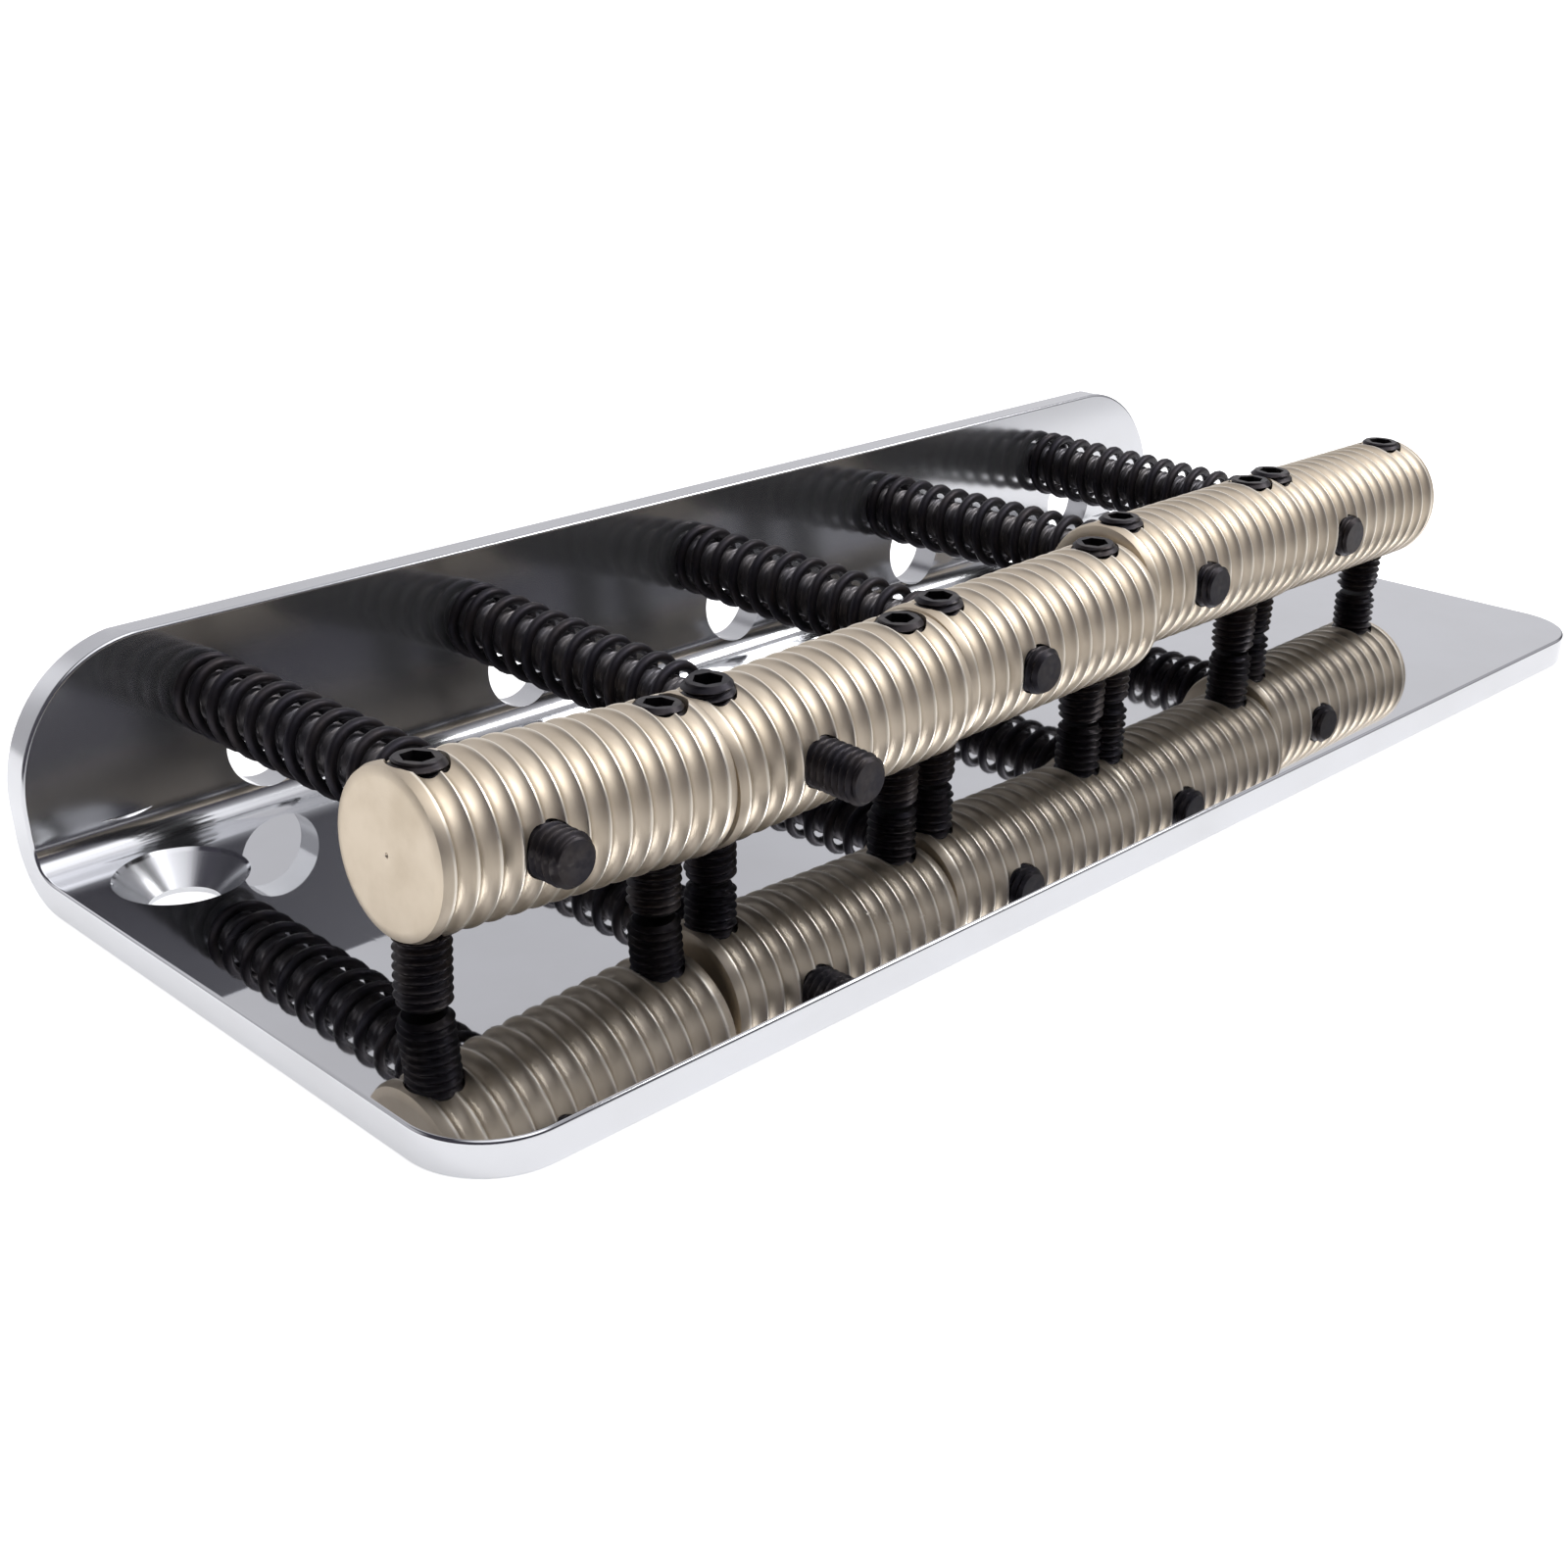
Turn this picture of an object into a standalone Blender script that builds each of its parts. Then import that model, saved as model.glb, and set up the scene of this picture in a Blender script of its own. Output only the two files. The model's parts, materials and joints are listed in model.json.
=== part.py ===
"""Bridge of a five-string bass guitar, every piece of it as its own solid.

A steel sheet lies on the body of the bass and is bent up at its back into a wall.
Five grooved barrel saddles stand above the sheet, each on two height screws. An
intonation screw hangs in a hole of the wall and draws its saddle back or lets it
forward, and a coil spring round the screw keeps the saddle pushed away from the wall.
Each string comes in through the large hole below its intonation screw.

Metres, +Z up. The origin is the centre of the sheet's underside. +Y points to the
wall and +X to the lowest string, so string 1, the highest one, is at -X.
"""

import math
from types import SimpleNamespace

import bmesh
import bpy
import numpy as np
from mathutils import Matrix, Vector

# Row of saddles, one value for each string from the highest to the lowest
SADDLE_HEIGHTS = (0.00784, 0.00705, 0.00726, 0.00788, 0.00718)
SADDLE_SETBACKS = (0.0, 0.00067, 0.00150, 0.00270, 0.00385)
SADDLE_ROLLS_DEG = (4.0, -1.5, -1.1, 0.2, 0.7)
SCREW_ENDS_PROUD = (0.0017, 0.0031, 0.0006, 0.0007, 0.0004)
HEAD_TURNS_DEG = (12.0, 64.0, 31.0, 78.0, 47.0)
SOCKET_TURNS_DEG = (8.0, 41.0, 22.0, 53.0, 15.0)
HEIGHT_SCREWS_PROUD = {
    "high_string_side": (0.0001, 0.0005, 0.0003, 0.00025, 0.0003),
    "low_string_side": (-0.0001, 0.0, 0.0002, 0.00005, 0.0001),
}

# Bent sheet
PLATE_THICKNESS = 0.0020
PLATE_DEPTH = 0.0416
PLATE_MARGIN_HIGH_STRING = 0.0054
PLATE_MARGIN_LOW_STRING = 0.0021
PLATE_CORNER_RADIUS = 0.0047
WALL_HEIGHT = 0.01205
WALL_LEAN_DEG = 2.6
WALL_CORNER_RADIUS = 0.0085
BEND_INNER_RADIUS = 0.0025
SHEET_EDGE_ROUNDING = 0.0003

# Holes in the sheet, with heights above its upper face
STRING_HOLE_RADIUS = 0.0029
STRING_HOLE_HEIGHT = 0.0038
STRING_HOLE_TO_STRING = 0.0007
SCREW_HOLE_HEIGHT = 0.0077
SCREW_HOLE_CLEARANCE = 0.0004
MOUNTING_HOLE_RADIUS = 0.0020
COUNTERSINK_RADIUS = 0.00376
COUNTERSINK_DEPTH = 0.0017
MOUNTING_HOLE_TO_WALL = 0.00544
MOUNTING_HOLE_TO_SIDE = 0.0058

# Grooved barrel saddles
FIRST_SADDLE_TO_FRONT = 0.0126
SADDLE_LENGTH = 0.0184
SADDLE_RADIUS = 0.00435
SADDLE_CHAMFER = 0.00046
GROOVE_PITCH = 0.0013
GROOVE_DEPTH = 0.0003
SHOULDER_LENGTH = 0.00070
CENTRE_MARK_RADIUS = 0.0003
CENTRE_MARK_DEPTH = 0.0003

# Screws and springs
INTONATION_SCREW_DIAMETER = 0.0029
INTONATION_SCREW_OFFSET = 0.0029
SCREW_HEAD_RADIUS = 0.00275
SCREW_HEAD_HEIGHT = 0.0019
HEAD_UNDERSIDE_RISE = 0.0003
RECESS_LENGTH = 0.0030
RECESS_WIDTH = 0.0006
RECESS_DEPTH = 0.0011
HEIGHT_SCREW_DIAMETER = 0.00296
HEIGHT_SCREW_TO_SADDLE_END = 0.00183
SOCKET_ACROSS_FLATS = 0.0015
SOCKET_DEPTH = 0.0018
SCREW_CHAMFER = 0.00033
SPRING_WIRE = 0.0006
SPRING_OUTER_DIAMETER = 0.0048
SPRING_TURNS = 12

# Air that parts keep between them
SADDLE_TO_SADDLE_GAP = 0.0006
SEAT_GAP = 0.0003
TIP_GAP = 0.0004
THREAD_CLEARANCE = 0.0003

# Faceting of round shapes
BARREL_SIDES = 18
SCREW_SIDES = 12
HOLE_SIDES = 24
BEND_SEGMENTS = 8
CORNER_SEGMENTS = 8
POINTS_PER_CURL = 8
CUT_OVERRUN = 0.002

STRING_COUNT = len(SADDLE_HEIGHTS)
WALL_LEAN = math.radians(WALL_LEAN_DEG)
STRING_PITCH = SADDLE_LENGTH + SADDLE_TO_SADDLE_GAP
HEIGHT_SCREW_SPACING = SADDLE_LENGTH - 2 * HEIGHT_SCREW_TO_SADDLE_END
ROW_LENGTH = (STRING_COUNT - 1) * STRING_PITCH + SADDLE_LENGTH
PLATE_WIDTH = ROW_LENGTH + PLATE_MARGIN_HIGH_STRING + PLATE_MARGIN_LOW_STRING
PLATE_LEFT = -PLATE_WIDTH / 2
PLATE_FRONT = -PLATE_DEPTH / 2
FIRST_STRING_X = PLATE_LEFT + PLATE_MARGIN_HIGH_STRING + SADDLE_LENGTH / 2
FIRST_SADDLE_Y = PLATE_FRONT + FIRST_SADDLE_TO_FRONT
BEND_OUTER_RADIUS = BEND_INNER_RADIUS + PLATE_THICKNESS
BEND_Y = PLATE_FRONT + PLATE_DEPTH - BEND_OUTER_RADIUS * math.cos(WALL_LEAN)
BEND_Z = PLATE_THICKNESS + BEND_INNER_RADIUS
INTONATION_SCREW_RADIUS = INTONATION_SCREW_DIAMETER / 2
HEIGHT_SCREW_RADIUS = HEIGHT_SCREW_DIAMETER / 2
SPRING_COIL_RADIUS = (SPRING_OUTER_DIAMETER - SPRING_WIRE) / 2


def string_x(index):
    """Return where string number index, counted from 0, runs across the bridge."""
    return FIRST_STRING_X + index * STRING_PITCH


def wall_y(height, depth=0.0):
    """Return the wall's Y at a height above the underside, depth into it from its outer face."""
    outer_end_y = BEND_Y + (BEND_OUTER_RADIUS - depth) * math.cos(WALL_LEAN)
    outer_end_z = BEND_Z - (BEND_OUTER_RADIUS - depth) * math.sin(WALL_LEAN)
    return outer_end_y + (height - outer_end_z) * math.tan(WALL_LEAN)


def string_layout(index):
    """Return the pivot, the slope and the reach of one string's screw, and its saddle's roll.

    The screw swings about the centre of its hole in the wall's outer face. Its reach is
    the way along the screw from there to the axis of the barrel.
    """
    roll = math.radians(SADDLE_ROLLS_DEG[index])
    pivot_z = PLATE_THICKNESS + SCREW_HOLE_HEIGHT
    pivot = Vector((string_x(index) - INTONATION_SCREW_OFFSET, wall_y(pivot_z), pivot_z))
    barrel_y = FIRST_SADDLE_Y + SADDLE_SETBACKS[index]
    barrel_z = PLATE_THICKNESS + SADDLE_HEIGHTS[index] + INTONATION_SCREW_OFFSET * math.sin(roll)
    rise = barrel_z - pivot.z
    run = pivot.y - barrel_y
    return SimpleNamespace(pivot=pivot, slope=math.atan2(rise, run), reach=math.hypot(rise, run), roll=roll)


def new_collection(name):
    """Add a collection to the scene."""
    collection = bpy.data.collections.new(name)
    bpy.context.scene.collection.children.link(collection)
    return collection


def metal(name, colour, roughness, metallic):
    """Return a material of one colour, roughness and metallic value."""
    material = bpy.data.materials.new(name)
    material.use_nodes = True
    shader = material.node_tree.nodes["Principled BSDF"]
    shader.inputs["Base Color"].default_value = (*colour, 1.0)
    shader.inputs["Roughness"].default_value = roughness
    shader.inputs["Metallic"].default_value = metallic
    return material


def add_object(name, data, parent=None, location=(0, 0, 0), rotation=(0, 0, 0)):
    """Add an object with the given mesh or curve to the parts."""
    obj = bpy.data.objects.new(name, data)
    PARTS.objects.link(obj)
    obj.parent = parent
    obj.location = location
    obj.rotation_euler = rotation
    return obj


def turned(name, profile, sides, **place):
    """Turn a profile of (radius, height) points, given from top to bottom, about local Z."""
    mesh = bpy.data.meshes.new(name)
    points = [(radius, 0, height) for radius, height in profile]
    edges = [(i, i + 1) for i in range(len(points) - 1)]
    mesh.from_pydata(points, edges, [])
    obj = add_object(name, mesh, **place)
    screw = obj.modifiers.new("Turn", "SCREW")
    screw.steps = sides
    screw.render_steps = sides
    screw.use_merge_vertices = True
    screw.merge_threshold = 1e-6
    return obj


def rod(name, radius, length, sides, **place):
    """Return a plain rod along local Z, centred on its origin."""
    half = length / 2
    return turned(name, [(0, half), (radius, half), (radius, -half), (0, -half)], sides, **place)


def outline_solid(name, points, thickness, **place):
    """Return the flat outline of points in local XY, as thick as given and centred on that plane."""
    curve = bpy.data.curves.new(name, "CURVE")
    curve.dimensions = "2D"
    curve.fill_mode = "BOTH"
    curve.extrude = thickness / 2
    spline = curve.splines.new("POLY")
    spline.points.add(len(points) - 1)
    for spline_point, (x, y) in zip(spline.points, points):
        spline_point.co = (x, y, 0, 1)
    spline.use_cyclic_u = True
    obj = add_object(name, curve, **place)
    mesh = evaluated_mesh(obj)
    solid = bmesh.new()
    solid.from_mesh(mesh)
    bmesh.ops.remove_doubles(solid, verts=solid.verts, dist=1e-7)
    bmesh.ops.dissolve_limit(solid, angle_limit=math.radians(0.1), verts=solid.verts, edges=solid.edges)
    bmesh.ops.recalc_face_normals(solid, faces=solid.faces)
    solid.to_mesh(mesh)
    solid.free()
    bpy.data.objects.remove(obj)
    return add_object(name, mesh, **place)


def evaluated_mesh(obj):
    """Return a new mesh of the object with its modifiers applied."""
    bpy.context.view_layer.update()
    graph = bpy.context.evaluated_depsgraph_get()
    return bpy.data.meshes.new_from_object(obj.evaluated_get(graph), depsgraph=graph)


def cut(obj, cutters):
    """Take each cutter away from the object."""
    for cutter in cutters:
        CUTTERS.objects.link(cutter)
        PARTS.objects.unlink(cutter)
        cutter.hide_render = True
        cutter.display_type = "WIRE"
        hole = obj.modifiers.new(cutter.name, "BOOLEAN")
        hole.operation = "DIFFERENCE"
        hole.object = cutter


def finish(obj, material, smooth_below_deg=35):
    """Make the modifiers part of the mesh, shade its round faces smooth and give it its metal."""
    mesh = evaluated_mesh(obj)
    obj.modifiers.clear()
    obj.data = mesh
    mesh.name = obj.name
    mesh.materials.clear()
    mesh.materials.append(material)
    mesh.shade_smooth()
    mesh.set_sharp_from_angle(angle=math.radians(smooth_below_deg))
    return obj


def arc(centre, radius, start, end, segments):
    """Return the points of a circular arc between two angles in radians, both ends included."""
    angles = np.linspace(start, end, segments + 1)
    return [(centre[0] + radius * math.cos(a), centre[1] + radius * math.sin(a)) for a in angles]


def sheet_section():
    """Return the outline, in Y and Z, of the sheet cut through from front to back."""
    straight_down = -math.pi / 2
    bend = (BEND_Y, BEND_Z)
    top_inner = PLATE_THICKNESS + WALL_HEIGHT
    top_outer = top_inner - PLATE_THICKNESS * math.sin(WALL_LEAN)
    outer = arc(bend, BEND_OUTER_RADIUS, straight_down, -WALL_LEAN, BEND_SEGMENTS)
    inner = arc(bend, BEND_INNER_RADIUS, -WALL_LEAN, straight_down, BEND_SEGMENTS)
    wall_top = [(wall_y(top_outer), top_outer), (wall_y(top_inner, PLATE_THICKNESS), top_inner)]
    return [(PLATE_FRONT, 0), *outer, *wall_top, *inner, (PLATE_FRONT, PLATE_THICKNESS)]


def corner_waste(corner, radius, side, end):
    """Return the outline of what rounding a corner takes away; side and end are its signs in x and y."""
    x, y = corner
    centre = (x - side * radius, y - end * radius)
    quarter = arc((0, 0), radius, 0, math.pi / 2, CORNER_SEGMENTS)
    rounding = [(centre[0] + side * px, centre[1] + end * py) for px, py in quarter]
    far_x = x + side * CUT_OVERRUN
    far_y = y + end * CUT_OVERRUN
    return [*rounding, (centre[0], far_y), (far_x, far_y), (far_x, centre[1])]


def mounting_hole_positions():
    """Return the mounting holes' X: one beyond each end of the row and one in each gap between springs."""
    gaps = [string_x(i) - INTONATION_SCREW_OFFSET + STRING_PITCH / 2 for i in range(STRING_COUNT - 1)]
    ends = [PLATE_LEFT + MOUNTING_HOLE_TO_SIDE, -PLATE_LEFT - MOUNTING_HOLE_TO_SIDE]
    return gaps + ends


def countersunk_cutter(name, location):
    """Return the shape of a countersunk screw hole through the sheet, its origin in the upper face."""
    above = PLATE_THICKNESS
    below = -PLATE_THICKNESS - CUT_OVERRUN
    profile = [
        (0, above),
        (COUNTERSINK_RADIUS, above),
        (COUNTERSINK_RADIUS, 0),
        (MOUNTING_HOLE_RADIUS, -COUNTERSINK_DEPTH),
        (MOUNTING_HOLE_RADIUS, below),
        (0, below),
    ]
    return turned(name, profile, HOLE_SIDES, location=location)


def make_base_plate(material):
    """Make the sheet that carries everything, with its wall, its rounded corners and its holes."""
    across = Matrix(((0, 0, 1), (1, 0, 0), (0, 1, 0))).to_euler()
    plate = outline_solid("base_plate", sheet_section(), PLATE_WIDTH, rotation=across)
    right = -PLATE_LEFT
    wall_top = PLATE_THICKNESS + WALL_HEIGHT
    facing_back = (math.pi / 2, 0, 0)
    waste = []
    for side in (-1, 1):
        front = corner_waste((side * right, PLATE_FRONT), PLATE_CORNER_RADIUS, side, -1)
        waste.append(outline_solid("front_corner_waste", front, 4 * PLATE_THICKNESS))
        top = corner_waste((side * right, wall_top), WALL_CORNER_RADIUS, side, 1)
        back = (0, wall_y(wall_top), 0)
        thick = 4 * BEND_OUTER_RADIUS
        waste.append(outline_solid("wall_corner_waste", top, thick, location=back, rotation=facing_back))
    cut(plate, waste)
    rounding = plate.modifiers.new("Rounded edges", "BEVEL")
    rounding.width = SHEET_EDGE_ROUNDING
    rounding.segments = 2
    rounding.angle_limit = math.radians(40)

    holes = []
    through = 2 * (BEND_OUTER_RADIUS + CUT_OVERRUN)
    for index in range(STRING_COUNT):
        layout = string_layout(index)
        x = string_x(index) + STRING_HOLE_TO_STRING
        below = (x, BEND_Y + BEND_INNER_RADIUS, PLATE_THICKNESS + STRING_HOLE_HEIGHT)
        holes.append(rod("string_hole", STRING_HOLE_RADIUS, through, HOLE_SIDES, location=below, rotation=facing_back))
        radius = INTONATION_SCREW_RADIUS + SCREW_HOLE_CLEARANCE
        holes.append(rod("screw_hole", radius, through, SCREW_SIDES, location=layout.pivot, rotation=facing_back))
    hole_y = wall_y(PLATE_THICKNESS, PLATE_THICKNESS) - MOUNTING_HOLE_TO_WALL
    for x in mounting_hole_positions():
        holes.append(countersunk_cutter("mounting_hole", (x, hole_y, PLATE_THICKNESS)))
    cut(plate, holes)
    return finish(plate, material)


def barrel_profile():
    """Return the barrel's profile: centre marks, chamfered ends, plain shoulders and grooves between."""
    half = SADDLE_LENGTH / 2
    end_radius = SADDLE_RADIUS - SADDLE_CHAMFER
    groove_count = int((SADDLE_LENGTH - 2 * SHOULDER_LENGTH) / GROOVE_PITCH + 1e-6)
    first_crest = groove_count * GROOVE_PITCH / 2
    upper_end = [
        (0, half - CENTRE_MARK_DEPTH),
        (CENTRE_MARK_RADIUS, half),
        (end_radius, half),
        (SADDLE_RADIUS, half - SADDLE_CHAMFER),
    ]
    grooves = [(SADDLE_RADIUS, first_crest)]
    for index in range(groove_count):
        crest = first_crest - index * GROOVE_PITCH
        grooves.append((SADDLE_RADIUS - GROOVE_DEPTH, crest - GROOVE_PITCH / 2))
        grooves.append((SADDLE_RADIUS, crest - GROOVE_PITCH))
    lower_end = [(radius, -height) for radius, height in reversed(upper_end)]
    return upper_end + grooves + lower_end


def make_saddle(index, seat, material):
    """Make one barrel on its seat, drilled across for its screw and down for its two height screws."""
    name = f"saddle_{index + 1}"
    middle = (INTONATION_SCREW_OFFSET, 0, 0)
    along_row = (0, math.pi / 2, 0)
    along_string = (math.pi / 2, 0, 0)
    saddle = turned(name, barrel_profile(), BARREL_SIDES, parent=seat, location=middle, rotation=along_row)
    through = 2 * (SADDLE_RADIUS + CUT_OVERRUN)
    screw_hole = INTONATION_SCREW_RADIUS + THREAD_CLEARANCE
    drills = [rod(name + "_drill", screw_hole, through, SCREW_SIDES, parent=seat, rotation=along_string)]
    for x in height_screw_positions().values():
        radius = HEIGHT_SCREW_RADIUS + THREAD_CLEARANCE
        drills.append(rod(name + "_drill", radius, through, SCREW_SIDES, parent=seat, location=(x, 0, 0)))
    cut(saddle, drills)
    return finish(saddle, material)


def height_screw_positions():
    """Return where the two height screws stand along a barrel, counted from its intonation screw."""
    half = HEIGHT_SCREW_SPACING / 2
    return {"high_string_side": INTONATION_SCREW_OFFSET - half, "low_string_side": INTONATION_SCREW_OFFSET + half}


def height_screw_tip(layout, x):
    """Return how high above the barrel's axis, along the screw, its tip stands clear of the sheet."""
    barrel_z = layout.pivot.z + layout.reach * math.sin(layout.slope)
    lean = math.acos(math.cos(layout.slope) * math.cos(layout.roll))
    tip_radius = HEIGHT_SCREW_RADIUS - SCREW_CHAMFER
    tip_z = PLATE_THICKNESS + TIP_GAP + tip_radius * math.sin(lean)
    return ((tip_z - barrel_z) / math.cos(layout.slope) + x * math.sin(layout.roll)) / math.cos(layout.roll)


def make_height_screw(index, side, seat, material):
    """Make one headless height screw, with its hex socket at the top and its tip above the sheet."""
    name = f"height_screw_{index + 1}_{side}"
    x = height_screw_positions()[side]
    tip = height_screw_tip(string_layout(index), x)
    inner_radius = HEIGHT_SCREW_RADIUS - SCREW_CHAMFER
    length = SADDLE_RADIUS + HEIGHT_SCREWS_PROUD[side][index] - tip
    profile = [
        (0, length),
        (inner_radius, length),
        (HEIGHT_SCREW_RADIUS, length - SCREW_CHAMFER),
        (HEIGHT_SCREW_RADIUS, SCREW_CHAMFER),
        (inner_radius, 0),
        (0, 0),
    ]
    turn = math.radians(SOCKET_TURNS_DEG[index])
    screw = turned(name, profile, SCREW_SIDES, parent=seat, location=(x, 0, tip), rotation=(0, 0, turn))
    corner_radius = SOCKET_ACROSS_FLATS / math.sqrt(3)
    socket = rod(name + "_socket", corner_radius, 2 * SOCKET_DEPTH, 6, parent=screw, location=(0, 0, length))
    cut(screw, [socket])
    return finish(screw, material)


def make_intonation_screw(index, swing, material):
    """Make one intonation screw: a domed head behind the wall and a shank through the saddle."""
    name = f"intonation_screw_{index + 1}"
    layout = string_layout(index)
    tip = -(layout.reach + SADDLE_RADIUS + SCREW_ENDS_PROUD[index])
    underside = SEAT_GAP + HEAD_UNDERSIDE_RISE
    top = underside + SCREW_HEAD_HEIGHT
    dome = arc((0, underside), 1.0, math.pi / 2, 0, 5)
    head = [(x * SCREW_HEAD_RADIUS, underside + (y - underside) * (top - underside)) for x, y in dome]
    shank = [
        (INTONATION_SCREW_RADIUS, SEAT_GAP),
        (INTONATION_SCREW_RADIUS, tip + SCREW_CHAMFER),
        (INTONATION_SCREW_RADIUS - SCREW_CHAMFER, tip),
        (0, tip),
    ]
    turn = math.radians(HEAD_TURNS_DEG[index])
    along_string = Matrix.Rotation(-math.pi / 2, 3, "X") @ Matrix.Rotation(turn, 3, "Z")
    screw = turned(name, head + shank, SCREW_SIDES, parent=swing, rotation=along_string.to_euler())
    arm = RECESS_LENGTH / 2
    half = RECESS_WIDTH / 2
    corner = [(arm, -half), (arm, half), (half, half)]
    cross = []
    for quarter in range(4):
        spin = Matrix.Rotation(quarter * math.pi / 2, 2)
        cross.extend(tuple(spin @ Vector(point)) for point in corner)
    recess = outline_solid(name + "_recess", cross, 2 * RECESS_DEPTH, parent=screw, location=(0, 0, top))
    cut(screw, [recess])
    return finish(screw, material)


def spring_path(index):
    """Return the spring's centre line from the wall to the barrel, in its screw's frame.

    Both ends run straight along the screw for one wire diameter, turn through a quarter
    round and then wind about it as a helix of even pitch.
    """
    layout = string_layout(index)
    lean = abs(layout.slope - WALL_LEAN)
    rim = SPRING_OUTER_DIAMETER / 2 * math.sin(lean)
    start = -(PLATE_THICKNESS / math.cos(lean) + SEAT_GAP + rim)
    end = -(layout.reach - SADDLE_RADIUS - SEAT_GAP)
    eighths = np.radians((45.0, 90.0))
    run = SPRING_WIRE
    lead_along = np.concatenate(([0.0, run], run + run * np.sin(eighths)))
    lead_turn = np.concatenate(([0.0, 0.0], run * (1 - np.cos(eighths)) / SPRING_COIL_RADIUS))
    full_turn = 2 * math.pi * SPRING_TURNS
    coil_turn = np.linspace(lead_turn[-1], full_turn - lead_turn[-1], SPRING_TURNS * POINTS_PER_CURL)[1:-1]
    length = start - end
    share = (coil_turn - lead_turn[-1]) / (full_turn - 2 * lead_turn[-1])
    coil_along = lead_along[-1] + share * (length - 2 * lead_along[-1])
    along = np.concatenate((lead_along, coil_along, length - lead_along[::-1]))
    turn = np.concatenate((lead_turn, coil_turn, full_turn - lead_turn[::-1]))
    return np.stack((SPRING_COIL_RADIUS * np.cos(turn), start - along, -SPRING_COIL_RADIUS * np.sin(turn)), axis=1)


def least_gap(path, diameter):
    """Return the least air between the turns of a wound wire, measured between the points of its path."""
    steps = np.linalg.norm(np.diff(path, axis=0), axis=1)
    along = np.concatenate(([0.0], np.cumsum(steps)))
    apart = np.linalg.norm(path[:, None] - path[None, :], axis=2)
    far = np.abs(along[:, None] - along[None, :]) > math.pi * SPRING_COIL_RADIUS
    return apart[far].min() - diameter


def make_spring(index, swing, material):
    """Make one coil spring as a single unbroken wire."""
    name = f"spring_{index + 1}"
    path = spring_path(index)
    curve = bpy.data.curves.new(name, "CURVE")
    curve.dimensions = "3D"
    curve.bevel_depth = SPRING_WIRE / 2
    curve.bevel_resolution = 1
    curve.use_fill_caps = True
    spline = curve.splines.new("POLY")
    spline.points.add(len(path) - 1)
    for spline_point, point in zip(spline.points, path):
        spline_point.co = (*point, 1)
    curve.materials.append(material)
    print(f"{name}: {SPRING_TURNS} turns, least gap between turns {least_gap(path, SPRING_WIRE) * 1000:.2f} mm")
    return add_object(name, curve, parent=swing)


def make_string(index, metals):
    """Make all that belongs to one string, carried by an empty in its hole and one on its barrel."""
    layout = string_layout(index)
    number = index + 1
    swing = add_object(f"swing_{number}", None, location=layout.pivot, rotation=(-layout.slope, 0, 0))
    seat = add_object(f"seat_{number}", None, parent=swing, location=(0, -layout.reach, 0), rotation=(0, layout.roll, 0))
    make_intonation_screw(index, swing, metals.blackened)
    make_spring(index, swing, metals.blackened)
    make_saddle(index, seat, metals.nickel)
    for side in height_screw_positions():
        make_height_screw(index, side, seat, metals.blackened)


def make_bridge():
    """Make the whole bridge."""
    metals = SimpleNamespace(
        chrome=metal("polished_chrome", (0.80, 0.81, 0.84), 0.06, 1.0),
        nickel=metal("satin_nickel", (0.74, 0.66, 0.55), 0.30, 1.0),
        blackened=metal("blackened_steel", (0.035, 0.034, 0.038), 0.32, 0.8),
    )
    make_base_plate(metals.chrome)
    for index in range(STRING_COUNT):
        make_string(index, metals)
    print(f"plate {PLATE_WIDTH * 1000:.1f} x {PLATE_DEPTH * 1000:.1f} mm, {STRING_COUNT} strings")


for old in list(bpy.data.objects):
    bpy.data.objects.remove(old)
PARTS = new_collection("bass_guitar_bridge")
CUTTERS = new_collection("cutters")
make_bridge()
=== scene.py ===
# %% [markdown]
# # A five-string bass guitar bridge
#
# The bridge is a chromed steel sheet bent up at the back, with five grooved barrel
# saddles over it. Each saddle stands on two black height screws and is pulled back by
# a black screw inside a spring. The solids of the model already have the right sizes
# and joints, so this lesson only gives each piece its fine surface and its finish.
# Every surface is worked out as whole numpy arrays and stays where its solid is.

# %% Load the frame
import json
import math

import bpy
import numpy as np
from mathutils import Matrix, Vector

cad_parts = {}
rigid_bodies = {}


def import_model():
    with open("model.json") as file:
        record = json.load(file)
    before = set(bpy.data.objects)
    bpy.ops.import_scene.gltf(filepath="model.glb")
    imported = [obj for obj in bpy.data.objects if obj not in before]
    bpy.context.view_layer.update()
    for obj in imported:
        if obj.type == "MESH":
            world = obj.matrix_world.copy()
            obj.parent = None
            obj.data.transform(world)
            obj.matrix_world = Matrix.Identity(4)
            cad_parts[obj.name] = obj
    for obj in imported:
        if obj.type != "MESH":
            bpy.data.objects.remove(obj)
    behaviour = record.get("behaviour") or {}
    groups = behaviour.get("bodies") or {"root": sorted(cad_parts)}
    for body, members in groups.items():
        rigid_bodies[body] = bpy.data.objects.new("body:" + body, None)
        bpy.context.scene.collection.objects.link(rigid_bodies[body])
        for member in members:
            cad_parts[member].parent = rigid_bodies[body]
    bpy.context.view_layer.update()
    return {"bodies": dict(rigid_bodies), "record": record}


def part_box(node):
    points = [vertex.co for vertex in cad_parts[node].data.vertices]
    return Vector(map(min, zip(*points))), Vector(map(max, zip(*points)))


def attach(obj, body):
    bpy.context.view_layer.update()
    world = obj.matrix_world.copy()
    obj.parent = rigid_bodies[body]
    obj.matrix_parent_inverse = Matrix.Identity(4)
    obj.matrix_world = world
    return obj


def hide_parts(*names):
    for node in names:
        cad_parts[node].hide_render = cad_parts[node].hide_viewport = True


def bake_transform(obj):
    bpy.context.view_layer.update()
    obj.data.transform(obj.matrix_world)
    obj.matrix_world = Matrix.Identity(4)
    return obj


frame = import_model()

MM = 0.001
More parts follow.
